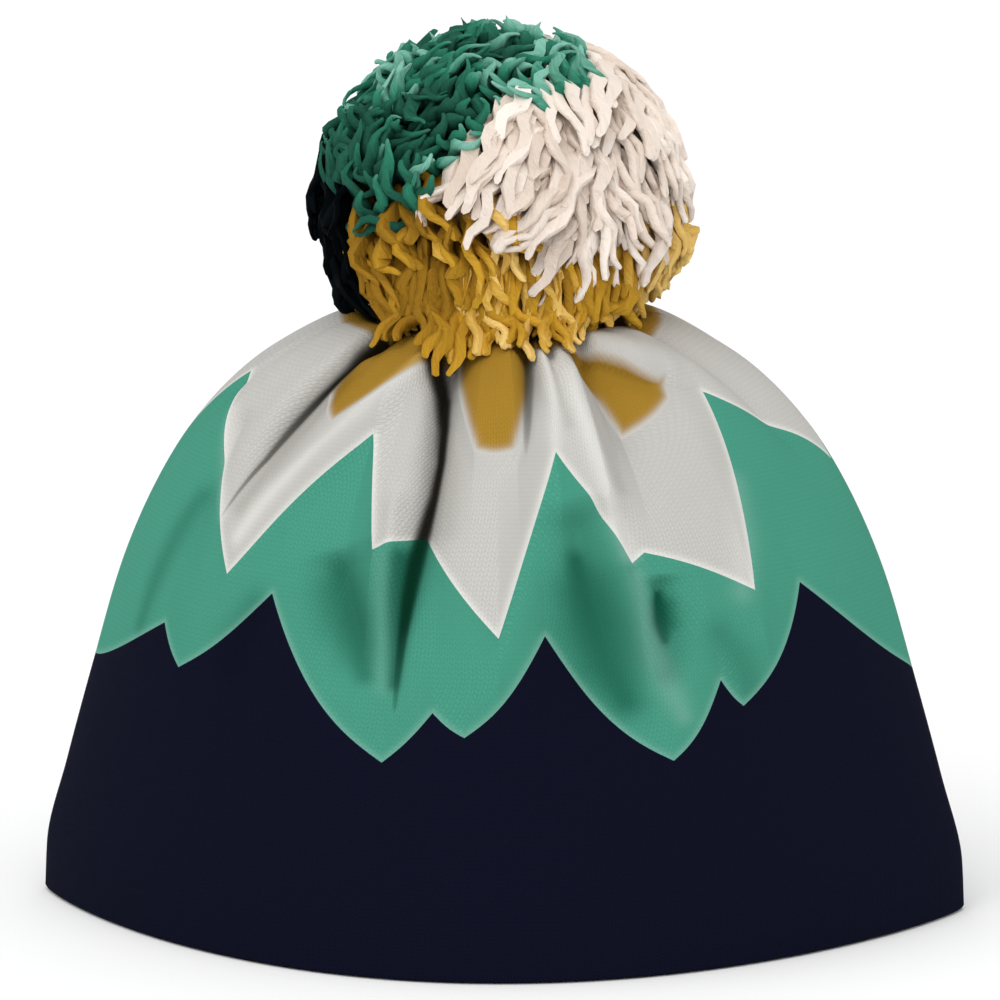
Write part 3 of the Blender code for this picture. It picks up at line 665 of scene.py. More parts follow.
    def each_stroke(self, kind, angle, share):
        """Every stroke of one kind on both halves: (strength, signed distance, width)."""
        for local, part in both_halves(angle):
            for name, strength, points in STROKES:
                if name == kind:
                    signed, width = self.along_stroke(points, local, share)
                    yield strength * part, signed, width

    def tone(self, kind, angle, share):
        """How strongly the soft strokes of one kind show, from 0 to 1."""
        most = np.zeros(angle.shape)
        for strength, signed, _ in self.each_stroke(kind, angle, share):
            most = np.maximum(most, strength * np.exp(-(signed**2)))
        return np.clip(most, 0.0, 1.0)

    def creases(self, angle, share):
        """The signed distance from the nearest crease's line, and its strength close to it."""
        nearest = np.full(angle.shape, CREASE_LIMIT)
        shown = np.zeros(angle.shape)
        for strength, signed, width in self.each_stroke("crease", angle, share):
            closer = np.abs(signed) < np.abs(nearest)
            nearest = np.where(closer, signed, nearest)
            close = strength * smooth_step((CREASE_EDGE - np.abs(signed)) / CREASE_FADE)
            shown = np.where(closer, close * smooth_step(width / FULL_CREASE), shown)
        return nearest, shown

    def over(self, angle, share):
        """How far the cream that folds over the mustard reaches past here, in millimetres."""
        local = angle % HALF_TURN
        above = (share - table_value(COVER_LINE, local)) * self.length * MM
        from_ends = np.minimum(local - COVER_LINE[0][0], COVER_LINE[-1][0] - local)
        from_ends = from_ends * self.per_degree(share) * MM
        return np.clip(np.minimum(above, from_ends), -COVER_LIMIT, COVER_LIMIT)

    def wall(self, angle, share, inside):
        """Points on the outer or the inner side of the knitted wall."""
        out = self.outward(angle, share)
        lift = out * self.relief(angle, share)[..., None]
        if not inside:
            return self.smooth_point(angle, share) + lift
        inset = np.hypot(out[..., 0], out[..., 1]) * self.sizes.knit_thickness
        inset = np.where(share > CREST_AT, -inset, inset)
        height = self.height.at(share) - out[..., 2] * self.sizes.knit_thickness
        width, depth = self.width.at(share) - inset, self.depth.at(share) - inset
        return self.ring_point(angle, width, depth, self.point.at(share), height) + lift

    def facing(self, angle, share, inside):
        """The directions that one side of the wall faces, folds and all."""
        turn, climb = 0.25, 0.0015
        low, high = np.maximum(0.0, share - climb), np.minimum(1.0, share + climb)
        around = self.wall(angle + turn, share, inside) - self.wall(angle - turn, share, inside)
        upward = self.wall(angle, high, inside) - self.wall(angle, low, inside)
        out = unit(np.cross(upward, around))
        return -out if inside else out


def edge_share(edge, angle):
    """The share at which a colour's edge crosses these angles."""
    angle = np.asarray(angle) % HALF_TURN
    corners = np.array(edge + [(HALF_TURN, edge[0][1], 0.0)])
    k = np.clip(np.searchsorted(corners[:, 0], angle, side="right") - 1, 0, len(edge) - 1)
    x = (angle - corners[k, 0]) / (corners[k + 1, 0] - corners[k, 0])
    low, high, bow = corners[k, 1], corners[k + 1, 1], corners[k, 2]
    return low + (high - low) * x - bow * np.sin(math.pi * x)


def column_angles():
    """Angles of the columns from 0 to 360: every petal's corner, and enough between."""
    corners = sorted(
        {row[0] for edge in (GREEN_EDGE, CREAM_EDGE, MUSTARD_EDGE) for row in edge}
        | {HALF_TURN}
    )
    kept = [corners[0]]
    for corner in corners[1:]:
        gap = corner - kept[-1]
        pieces = math.ceil(gap / COLUMN_STEP)
        kept += [kept[-1] + gap * (k + 1) / pieces for k in range(pieces)]
    half = np.array(kept)
    return np.concatenate([half, half[1:] + HALF_TURN])


def gathered_steps(count):
    """Steps from 0 to 1 that lie closer together near both ends."""
    x = np.linspace(0.0, 1.0, count + 1)
    return (1.0 - STEP_GATHER) * x + STEP_GATHER * (1.0 - np.cos(math.pi * x)) / 2


def edge_line(crown, edge):
    """A search tree of points close together along a colour's edge."""
    corners = edge + [(HALF_TURN, edge[0][1], 0.0)]
    angles = []
    for (a, low, _), (b, high, _) in zip(corners, corners[1:]):
        length = math.hypot((b - a) * EDGE_DEGREE, (high - low) * crown.length)
        angles.append(np.linspace(a, b, 2 + int(length / EDGE_SPACING)))
    half = np.concatenate(angles)
    angles = np.concatenate([half, half + HALF_TURN])
    points = crown.wall(angles, edge_share(edge, angles), False)
    tree = kdtree.KDTree(len(points))
    for number, point in enumerate(points):
        tree.insert(point, number)
    tree.balance()
    return tree


def distances(points, tree):
    """How far each point is from the line in a search tree, up to FARTHEST."""
    flat = points.reshape(-1, 3)
    found = np.array([tree.find(point)[2] for point in flat])
    return np.minimum(found, FARTHEST).reshape(points.shape[:-1])


def wale_places(crown, angle, share):
    """How far round its ring each place is, from 0 to 1, so that wales come out even."""
    ring = crown.smooth_point(angle, share)
    steps = np.linalg.norm(np.diff(ring, axis=0), axis=-1)
    run = np.concatenate([np.zeros((1, steps.shape[1])), np.cumsum(steps, axis=0)])
    return run / run[-1]


def deselect_all():
    if bpy.context.mode != "OBJECT":
        bpy.ops.object.mode_set(mode="OBJECT")
    bpy.ops.object.select_all(action="DESELECT")


def put_attribute(data, name, values):
    layer = data.attributes.new(name, "FLOAT", "POINT")
    layer.data.foreach_set("value", np.ascontiguousarray(values, dtype=np.float32).ravel())


def put_yarn(data, tip, tint, gap):
    """What the yarn's material reads: how near the tip, how light, and how deep in a gap, which it darkens
    as painted shade.
    """
    for name, values in (("tip", tip), ("tint", tint), ("gap", gap)):
        put_attribute(data, name, np.broadcast_to(values, (len(data.vertices),)))


def corner_vertices(data):
    """The vertex at each corner of a mesh's faces."""
    corners = np.zeros(len(data.loops), dtype=np.int32)
    data.loops.foreach_get("vertex_index", corners)
    return corners


def put_texture(data, places):
    """Give each corner of a mesh's faces its place in the pattern."""
    data.uv_layers[0].uv.foreach_set("vector", places.astype(np.float32).ravel())


def join_into(kept, others):
    """Join other objects into the one that is kept."""
    deselect_all()
    for each in (kept, *others):
        each.select_set(True)
    bpy.context.view_layer.objects.active = kept
    bpy.ops.object.join()


def place_piece(made, nodes):
    """Finish a piece: it rides on the hat and stands for the solids that it replaces."""
    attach(made, "root")
    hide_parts(*nodes)


def lay_sheet(name, places, facing, knit, attributes):
    """A flat grid laid over rows of places, and closed where its borders meet."""
    across, along = places.shape[0] - 1, places.shape[1] - 1
    deselect_all()
    bpy.ops.mesh.primitive_grid_add(x_subdivisions=across, y_subdivisions=along, size=1.0)
    made = bpy.context.object
    made.name = name
    data = made.data
    data.name = name
    flat = np.zeros(len(data.vertices) * 3)
    data.vertices.foreach_get("co", flat)
    flat = flat.reshape(-1, 3)
    column = np.rint((flat[:, 0] + 0.5) * across).astype(int)
    row = np.rint((flat[:, 1] + 0.5) * along).astype(int)
    data.vertices.foreach_set("co", places[column, row].astype(np.float32).ravel())
    data.uv_layers[0].name = TEXTURE
    put_texture(data, knit[column, row][corner_vertices(data)])
    for label, values in attributes.items():
        put_attribute(data, label, values[column, row])
    for axis, label in enumerate("xyz"):
        put_attribute(data, "facing_" + label, facing[column, row, axis])
    bpy.ops.object.mode_set(mode="EDIT")
    bpy.ops.mesh.select_all(action="SELECT")
    bpy.ops.mesh.remove_doubles(threshold=WELD_DISTANCE)
    bpy.ops.object.mode_set(mode="OBJECT")
    bpy.ops.object.shade_smooth()
    normals = np.zeros((len(data.vertices), 3), dtype=np.float32)
    for axis, label in enumerate("xyz"):
        layer = data.attributes["facing_" + label]
        values = np.zeros(len(data.vertices), dtype=np.float32)
        layer.data.foreach_get("value", values)
        normals[:, axis] = values
        data.attributes.remove(layer)
    data.normals_split_custom_set_from_vertices(unit(normals))
    return made


def hem_arc(crown, angle):
    """The rounded lower edge of the wall, from its inner to its outer side."""
    thickness = crown.sizes.knit_thickness
    start = np.zeros_like(angle)
    outer, inner = crown.wall(angle, start, False), crown.wall(angle, start, True)
    out = unit(outer - inner)
    places, facing = [], []
    for k in range(1, HEM_ARC_STEPS):
        turn = math.pi * k / HEM_ARC_STEPS
        place = inner + (outer - inner) * (1.0 - math.cos(turn)) / 2
        place[..., 2] = thickness / 2 * (1.0 - math.sin(turn))
        places.append(place)
        facing.append(-out * math.cos(turn) + np.array([0.0, 0.0, -math.sin(turn)]))
    return np.stack(places, axis=1), np.stack(facing, axis=1)


def build_band(crown, colour, low_edge, high_edge, rows_outside, rows_inside):
    """One colour of the crown: a closed wall between two edges, all the way round."""
    sizes = crown.sizes
    # Columns run against the angles, so that the sheet faces outwards.
    angles = column_angles()[::-1]
    hem = sizes.knit_thickness / 2 / crown.length * HEM_ARC_SHARE
    low = edge_share(low_edge, angles) if low_edge else np.full_like(angles, hem)
    high = edge_share(high_edge, angles) if high_edge else np.ones_like(angles)
    parts = []
    for inside, count in ((False, rows_outside), (True, rows_inside)):
        steps = gathered_steps(count)
        if inside:
            steps = steps[::-1]
        lipped = low_edge and not inside
        share = low[:, None] + (high - low)[:, None] * steps[None, :]
        if lipped:
            share = np.concatenate([share[:, :1] - LIP_LENGTH / crown.length, share], axis=1)
        angle = np.broadcast_to(angles[:, None], share.shape)
        places = crown.wall(angle, share, inside)
        facing = crown.facing(angle, share, inside)
        if lipped:
            places[:, 0] -= facing[:, 0] * LIP_DEPTH
        parts.append((share, places, facing, np.full(share.shape, float(inside))))
    if not low_edge:
        arc, arc_facing = hem_arc(crown, angles)
        climb = np.abs(np.linspace(-1.0, 1.0, arc.shape[1])) * hem
        share = np.broadcast_to(climb, arc.shape[:2])
        parts.append((share, arc, arc_facing, np.zeros(share.shape)))
    shown = slice(0, parts[0][0].shape[1])
    # The last row is the first again, which closes the wall.
    share, places, facing, inside = (
        np.concatenate([*rows, rows[0][:, :1]], axis=1) for rows in zip(*parts)
    )
    angle = np.broadcast_to(angles[:, None], share.shape)
    places[-1] = places[0]
    wales = sizes.wale_count * (1.0 - wale_places(crown, angle, share))
    courses = share * crown.length / sizes.course_height
    outside = 1.0 - inside
    crease, crease_share = crown.creases(angle, share)
    # Painted shade in the folds' hollows and along the creases, and painted highlights on their ridges,
    # are read from these
    attributes = {
        "fold": crown.relief(angle, share) / sizes.fold_depth * outside,
        "crease": crease,
        "crease_share": crease_share * outside,
        "shade": crown.tone("shade", angle, share) * outside,
        "light": crown.tone("light", angle, share) * outside,
        "inside": inside,
    }
    if colour == "mustard":
        attributes["over"] = np.where(inside > 0.5, -COVER_LIMIT, crown.over(angle, share))
    if low_edge:
        away = np.full(share.shape, FARTHEST)
        away[:, shown] = distances(places[:, shown], edge_line(crown, low_edge))
        attributes["to_low"] = away * MM
    knit = np.stack([wales, courses], axis=-1)
    return lay_sheet("knit_" + colour, places, facing, knit, attributes)


class Socket:
    """A shader socket that takes part in Python sums."""

    def __init__(self, graph, socket):
        self.graph = graph
        self.socket = socket

    def __add__(self, other):
        return self.graph.maths("ADD", self, other)

    def __radd__(self, other):
        return self.graph.maths("ADD", other, self)

    def __sub__(self, other):
        return self.graph.maths("SUBTRACT", self, other)

    def __rsub__(self, other):
        return self.graph.maths("SUBTRACT", other, self)

    def __mul__(self, other):
        return self.graph.maths("MULTIPLY", self, other)

    def __rmul__(self, other):
        return self.graph.maths("MULTIPLY", other, self)

    def __truediv__(self, other):
        return self.graph.maths("DIVIDE", self, other)

    def __rtruediv__(self, other):
        return self.graph.maths("DIVIDE", other, self)

    def __pow__(self, other):
        return self.graph.maths("POWER", self, other)


class Graph:
    """The nodes of one material."""

    def __init__(self, name):
        self.material = bpy.data.materials.new(name)
        self.material.use_nodes = True
        self.nodes = self.material.node_tree.nodes
        self.links = self.material.node_tree.links
        self.shader = self.nodes["Principled BSDF"]

    def add(self, kind, settings=None, sockets=None, output=0):
        """Any node: its type, its settings, and the values or links of its sockets."""
        node = self.nodes.new(kind)
        for name, value in (settings or {}).items():
            setattr(node, name, value)
        for name, value in (sockets or {}).items():
            self.feed(node.inputs[name], value)
        return Socket(self, node.outputs[output])

    def feed(self, socket, value):
        if isinstance(value, Socket):
            self.links.new(value.socket, socket)
        else:
            socket.default_value = value

    def maths(self, operation, *values):
        return self.add("ShaderNodeMath", {"operation": operation}, dict(enumerate(values)))

    def clamp(self, value):
        return self.add("ShaderNodeClamp", {}, {"Value": value})

    def mix(self, share, first, second):
        """A colour between two others."""
        return self.add(
            "ShaderNodeMix",
            {"data_type": "RGBA"},
            {"Factor": share, 6: first, 7: second},
            output=2,
        )

    def attribute(self, name):
        return self.add("ShaderNodeAttribute", {"attribute_name": name}, output="Fac")

    def bell(self, value, sharpness):
        """1 where a value is 0, fading out on both sides of it."""
        return self.maths("EXPONENT", value * value * -sharpness)

    def pattern_place(self):
        """The two numbers of a place in the pattern: across it and along it."""
        place = self.add("ShaderNodeUVMap", {"uv_map": TEXTURE})
        return [
            self.add("ShaderNodeSeparateXYZ", {}, {"Vector": place}, output=axis) for axis in "XY"
        ]

    def noise(self, scale, roughness, place=None):
        """Soft noise over the object, or over another place."""
        place = place or self.add("ShaderNodeTexCoord", output="Object")
        return self.add(
            "ShaderNodeTexNoise",
            {},
            {"Vector": place, "Scale": scale, "Detail": NOISE_DETAIL, "Roughness": roughness},
        )

    def bump(self, strength, distance, height):
        return self.add(
            "ShaderNodeBump", {}, {"Strength": strength, "Distance": distance, "Height": height}
        )

    def finish(self, constants, links):
        """Set the shader's own sockets, and link what changes over the surface."""
        for name, value in constants.items():
            self.shader.inputs[name].default_value = value
        for name, value in links.items():
            self.links.new(value.socket, self.shader.inputs[name])
        return self.material


def solid(colour, scale=1.0):
    return (*(min(1.0, part * scale) for part in colour), 1.0)


def knit_material(name, colour, cover=None):
    """Fine stocking stitch, with painted shade in its creases, its hollows and between its
    stitches, painted highlights on its ridges, and paler along its worked edge.

    Where a colour to cover it is given, that one blends in at its low edge and folds over it."""
    shade, crease_shadow, rim_and_highlight, rim_share, gloss = KNIT_LOOKS[name]
    graph = Graph(name + "_knit")
    wale, course = graph.pattern_place()
    across = graph.maths("ABSOLUTE", graph.maths("FRACT", wale) - 0.5) * 2.0
    along = graph.maths("FRACT", course - across * STITCH_SLANT)
    leg = graph.maths("SINE", along * math.pi) ** LEG_PLUMP
    stitch = leg * graph.maths("SINE", across * math.pi) ** WALE_PLUMP
    fuzz = graph.noise(1800.0, 0.6)
    crease, crease_share = graph.attribute("crease"), graph.attribute("crease_share")
    deep = graph.bell(crease, 0.45) * crease_share
    bump = graph.bump(0.55, KNIT_BUMP, stitch * 0.75 + fuzz * 0.35 - deep * 3.0)
    cloud = graph.noise(38.0, 0.55)
    base = graph.mix(cloud, solid(colour, 0.94), solid(colour, 1.06))
    # Painted shade between the legs of the stitches
    base = graph.mix((1.0 - stitch) * 0.30, base, solid(colour, 0.55))
    base = graph.mix(fuzz * 0.05, base, solid(rim_and_highlight))
    # Painted shade in the hollows of the folds and in the shade strokes, and painted highlights from the
    # light strokes
    base = graph.mix(graph.clamp(graph.attribute("fold") * -0.22), base, solid(shade))
    base = graph.mix(graph.attribute("shade"), base, solid(shade))
    base = graph.mix(graph.attribute("light") * 0.5, base, solid(rim_and_highlight))
    if rim_share:
        edge = graph.bell(graph.attribute("to_low"), 0.9)
        base = graph.mix(edge * rim_share, base, solid(rim_and_highlight))
    if cover:
        covered = graph.clamp(0.5 + graph.attribute("over") / COVER_BLEND)
        soft = graph.bell(graph.attribute("to_low"), 0.55)
        base = graph.mix(graph.maths("MAXIMUM", soft, covered), base, solid(cover))
    # Painted shade: a dark line along each crease, darkest at its bottom
    line = graph.bell(crease * crease, 1.0) * crease_share
    base = graph.mix(line, base, solid(crease_shadow))
    base = graph.mix(deep * 0.40, base, solid(crease_shadow))
    base = graph.mix(graph.attribute("inside") * 0.25, base, solid(colour, 0.7))
    rough = 0.86 + (cloud - 0.5) * 0.1
    return graph.finish(
        {"Specular IOR Level": gloss}, {"Base Color": base, "Roughness": rough, "Normal": bump}
    )


def yarn_material(name, middle):
    """Soft plied yarn whose strands differ in tone, with painted shade in gaps and at roots."""
    dark, light, gap, gloss, tip_highlight = YARN_LOOKS[name]
    graph = Graph(name + "_yarn")
    around, along = graph.pattern_place()
    strand = graph.attribute("tint")
    fuzz = graph.noise(1500.0, 0.65)
    fibre_place = graph.add(
        "ShaderNodeCombineXYZ",
        {},
        {"X": around * 9.0 + along * 0.8, "Y": along * 0.22, "Z": strand * 40.0},
    )
    fibres = graph.noise(1.0, 0.6, fibre_place)
    bump = graph.bump(0.7, YARN_BUMP, fibres * 1.3 + fuzz * 0.6)
    # Tips are painted lighter, as highlight, and roots darker, as shade
    tint = strand + (graph.attribute("tip") - 0.75) * tip_highlight + (fibres - 0.5) * 0.5
    base = graph.mix(graph.clamp(tint * 2.0), solid(dark), solid(middle))
    base = graph.mix(graph.clamp(tint * 2.0 - 1.0), base, solid(light))
    base = graph.mix(fuzz * 0.10, base, solid(light))
    # Painted shade where the yarn lies deep in a gap
    base = graph.mix(graph.attribute("gap") * 0.92, base, solid(gap))
    rough = 0.78 + fuzz * 0.12
    return graph.finish(
        {"Specular IOR Level": gloss}, {"Base Color": base, "Roughness": rough, "Normal": bump}
    )


def sector_direction(angle):
    """The way out from SECTOR_LINE at this angle; 0 is level, towards the right."""
    level = Vector((-SECTOR_LINE.y, SECTOR_LINE.x, 0.0)).normalized()
    upward = SECTOR_LINE.cross(level).normalized()
    turn = math.radians(angle)
    return level * math.cos(turn) + upward * math.sin(turn)


def yarn_colours(directions):
    """The colour of the yarn that shows in each direction from the pompom's middle."""
    level, upward = np.array(sector_direction(0.0)), np.array(sector_direction(QUARTER_TURN))
    angle = np.degrees(np.arctan2(directions @ upward, directions @ level))
    away = np.degrees(np.arccos(np.clip(directions @ np.array(SECTOR_LINE), -1.0, 1.0)))
    first, second = table_value(CREAM_FOOT, away), table_value(CREAM_TOP, away)
    third = SECTORS["green"][1]
    names = np.full(len(directions), "mustard", dtype=object)
    names[(angle - first) % FULL_TURN < second - first] = "cream"
    names[(angle - second) % FULL_TURN < third - second] = "green"
    names[directions @ np.array(NAVY_FACES) > NAVY_CAP_SHARE] = "navy"
    x, y, z = directions.T
    at_left = (x < NAVY_SIDE + NAVY_SIDE_LEAN * y) & (y < NAVY_SIDE_BACK) & (z < NAVY_SIDE_TOP)
    names[at_left] = "navy"
    return names


def waves_over(directions, random, pitch):
    """A smooth uneven field over the ball, about -1 to 1, so that neighbours agree."""
    count = WAVE_COUNT
    ways = unit(random.normal(0.0, 1.0, (count, 3))) * random.uniform(0.6, 1.3, (count, 1)) * pitch
    phases = random.uniform(0.0, math.tau, count)
    return np.sin(directions @ ways.T + phases).sum(axis=1) / math.sqrt(count / 2)


def spread_directions(count, random):
    """Directions spread evenly over a sphere, then shaken a little."""
    k = np.arange(count)
    height = 1.0 - 2.0 * (k + 0.5) / count
    level = np.sqrt(1.0 - height**2)
    turn = math.pi * (3.0 - math.sqrt(5.0)) * k
    even = np.stack([level * np.cos(turn), level * np.sin(turn), height], axis=-1)
    return unit(even + random.normal(0.0, 0.5 / math.sqrt(count), even.shape))


def yarn_end():
    """One short end of yarn: a cylinder cut into rings.

    Returns for each vertex its ring and its place round it, and the faces."""
    deselect_all()
    bpy.ops.mesh.primitive_cylinder_add(vertices=STRAND_SIDES, radius=0.5, depth=1.0)
    made = bpy.context.object
    bpy.ops.object.mode_set(mode="EDIT")
    bpy.ops.mesh.select_mode(type="EDGE")
    bpy.ops.mesh.select_all(action="DESELECT")
    bpy.ops.object.mode_set(mode="OBJECT")
    for edge in made.data.edges:
        low, high = (made.data.vertices[v].co.z for v in edge.vertices)
        edge.select = abs(high - low) > 0.5
    bpy.ops.object.mode_set(mode="EDIT")
    bpy.ops.mesh.subdivide(number_cuts=STRAND_RINGS - 2)
    bpy.ops.object.mode_set(mode="OBJECT")
    places = np.array([vertex.co for vertex in made.data.vertices])
    ring = np.rint((places[:, 2] + 0.5) * (STRAND_RINGS - 1)).astype(int)
    turn = np.arctan2(places[:, 1], places[:, 0]) / math.tau % 1.0
    side = np.rint(turn * STRAND_SIDES).astype(int) % STRAND_SIDES
    faces = [tuple(face.vertices) for face in made.data.polygons]
    bpy.data.objects.remove(made, do_unlink=True)
    return ring, side, faces


def ring_steps():
    """Where along a strand its rings are, from 0 to 1, the last two close together."""
    even = np.linspace(0.0, 1.0, STRAND_RINGS - 1)
    return np.append(even[:-1], [TIP_RING, 1.0])


def sweep_strands(paths, radii, tips, tints):
    """Bend a copy of the yarn's end along each path.

    Returns vertices, faces, and for each vertex its share along, tint, and texture place."""
    ring, side, faces = yarn_end()
    count = len(paths)
    tangent = unit(np.gradient(paths, axis=1))
    lean = unit(paths[:, -1:] - paths[:, :1])
    aside = unit(np.cross(tangent, unit(np.cross(lean, ODD_WAY))))
    over = np.cross(tangent, aside)
    turn = math.tau * np.arange(STRAND_SIDES) / STRAND_SIDES
    along = ring_steps()
    taper = smooth_step((along[None, :] - TAPER_FROM) / TAPER_OVER)
    narrowing = 1.0 - (1.0 - tips)[:, None] * taper
    width = radii[:, None] * table_value(STRAND_PROFILE, along)[None, :] * narrowing
    around = (
        aside[:, :, None, :] * np.cos(turn)[None, None, :, None]
        + over[:, :, None, :] * np.sin(turn)[None, None, :, None]
    )
    lengths = np.linalg.norm(np.diff(paths, axis=1), axis=-1)
    run = np.concatenate([np.zeros((count, 1)), np.cumsum(lengths, axis=1)], axis=1) * MM
    twist = 2.0 * turn[None, None, :] + run[:, :, None] * (math.tau / PLY_LENGTH)
    plump = 1.0 + PLY_DEPTH * np.cos(twist)
    points = paths[:, :, None, :] + around * (width[:, :, None] * plump)[..., None]
    points = points[:, ring, side].reshape(-1, 3)
    share = np.broadcast_to(along[ring], (count, len(ring))).ravel()
    shade = np.repeat(tints, len(ring))
    texture = np.stack(
        [np.broadcast_to(side / STRAND_SIDES, (count, len(ring))), run[:, ring]], axis=-1
    ).reshape(-1, 2)
    whole = []
    for number in range(count):
        start = number * len(ring)
        whole += [tuple(v + start for v in face) for face in faces]
    return points, whole, share, shade, texture


def bend_ends(crown, random, colour, middles):
    """Paths of the strands that stand out of the ball and lie over at their ends."""
    sizes, count = crown.sizes, len(middles)
    flow_x, flow_y, flow_z, stray, least, most, crimp, width, taper = YARN_LIES[colour]
    flow = np.array([flow_x, flow_y, flow_z]) + 0.0 * middles
    if colour == "cream":
        at_left = smooth_step((SWEEP_RIGHT - middles[:, :1]) / SWEEP_WIDTH)
        swept = at_left * smooth_step((SWEEP_TOP - middles[:, 2:]) / SWEEP_HEIGHT)
        flow = flow * (1.0 - swept) + np.array(SWEEP_FLOW) * swept
    flow = unit(flow - middles * np.sum(flow * middles, axis=-1, keepdims=True))
    aside = np.cross(middles, flow)
    turn = random.normal(0.0, stray, count)
    turn = (turn + LIE_WAVES * stray * waves_over(middles, random, LIE_PITCH))[:, None]
    flow, aside = (
        flow * np.cos(turn) + aside * np.sin(turn),
        aside * np.cos(turn) - flow * np.sin(turn),
    )
    along = ring_steps()[None, :]
    lay = random.uniform(least, most, count)[:, None]
    swing = lay * (along**LEAN_POWER - LEAN_BACK)
    clump = waves_over(middles, random, CLUMP_PITCH)
    reach = TIP_REACH + REACH_WAVES[colour] * clump + random.uniform(-TIP_SPREAD, TIP_SPREAD, count)
    reach = np.clip(reach, LEAST_REACH, 1.0) * flatness(middles[:, 2])
    reach = sizes.pompom_radius * reach[:, None]
    root = sizes.pompom_radius * ROOT_REACH
    rise = root + (reach - root) * (1.0 - (1.0 - along) ** 2.0)
    direction = (
        middles[:, None, :] * np.cos(swing)[..., None] + flow[:, None, :] * np.sin(swing)[..., None]
    )
    paths = direction * rise[..., None]
    length = (reach - root) + lay * sizes.pompom_radius
    waves = length / sizes.crimp_length * random.uniform(0.8, 1.25, count)[:, None]
    start = random.uniform(0.0, math.tau, (2, count))[:, :, None]
    strength = sizes.crimp_depth * crimp * smooth_step(along / 0.35)
    strength = strength * random.uniform(0.6, 1.3, count)[:, None]
    paths += aside[:, None, :] * (strength * np.sin(math.tau * waves * along + start[0]))[..., None]
    bob = strength * 0.55 * np.sin(math.tau * waves * along + start[1])
    paths += direction * (bob - strength * 0.3)[..., None]
    radii = sizes.yarn_width / 2 * width * random.uniform(0.82, 1.18, count)
    paths[..., 2] += crown.pompom_height
    return paths, radii, np.full(count, taper)


def through(points, places):
    """A smooth line through rows of points, read at these places from 0 to 1."""
    count = points.shape[1]
    where = np.clip(places * (count - 1), 0.0, count - 1 - 1e-9)
    k = where.astype(int)
    x = (where - k)[None, :, None]
    before = points[:, np.maximum(k - 1, 0)]
    first = points[:, k]
    second = points[:, k + 1]
    after = points[:, np.minimum(k + 2, count - 1)]
    return 0.5 * (
        2 * first
        + (second - before) * x
        + (2 * before - 5 * first + 4 * second - after) * x**2
        + (3 * first - before - 3 * second + after) * x**3
    )


def hang_ends(crown, random, start_angle):
    """Paths of the loose strands that hang over the crest, on one half of the hat."""
    sizes, count = crown.sizes, SKIRT_STRANDS
    local = random.uniform(SKIRT_ENDS[0][0], SKIRT_ENDS[-1][0], count)
    angle = local + start_angle
    end = table_value(SKIRT_ENDS, local) + random.normal(0.0, SKIRT_SPREAD, count)
    end = np.minimum(end, SKIRT_START)
    stack = sizes.yarn_width * random.uniform(0.55, 1.35, count)
    turn = np.radians(angle + random.normal(0.0, 5.0, count))
    level = np.stack([np.cos(turn), -np.sin(turn), np.zeros(count)], axis=-1)
    down = np.array([0.0, 0.0, -1.0])
    rows = []
    for degrees, share in HANG_ROOTS:
        tilt = math.radians(degrees)
        out = level * math.cos(tilt) + down * math.sin(tilt)
        rows.append(crown.pompom_middle + out * sizes.pompom_radius * share)
    sway = random.normal(0.0, 2.2, count)
    for part in HANG_PARTS:
        share = SKIRT_START * (1.0 - part) + end * part
        at = angle + sway * part
        out = crown.outward(at, share)
        lift = np.maximum(crown.relief(at, share), 0.0) + stack * (1.5 - 1.1 * part)
        rows.append(crown.smooth_point(at, share) + out * lift[:, None])
    along = ring_steps()
    paths = through(np.stack(rows, axis=1), along)
    tangent = unit(np.gradient(paths, axis=1))
    aside = unit(np.cross(tangent, level[:, None, :]))
    length = np.linalg.norm(np.diff(paths, axis=1), axis=-1).sum(axis=1)
    waves = (length / sizes.crimp_length)[:, None]
    phase = random.uniform(0.0, math.tau, count)[:, None]
    strength = sizes.crimp_depth * 0.9 * (smooth_step(along / 0.3) * (1.0 - 0.5 * along))[None, :]
    paths += aside * (strength * np.sin(math.tau * waves * along[None, :] + phase))[..., None]
    radii = sizes.yarn_width / 2 * 1.05 * random.uniform(0.80, 1.20, count)
    return paths, radii, np.full(count, SKIRT_TAPER)


def spike_ends(crown, random):
    """Paths of the few thin wisps that stand out of the top."""
    ends = np.array(WISPS)
    out = unit(ends)
    far = np.linalg.norm(ends, axis=-1)[:, None, None]
    along = ring_steps()[None, :, None]
    sway = unit(random.normal(0.0, 1.0, out.shape))[:, None, :]
    reach = crown.sizes.pompom_radius * (CORE_REACH + (far - CORE_REACH) * along)
    paths = out[:, None, :] * reach + sway * WISP_SWAY * np.sin(3.0 * along)
    paths[..., 2] += crown.pompom_height
    return paths, np.full(len(ends), WISP_RADIUS), np.full(len(ends), WISP_TAPER)


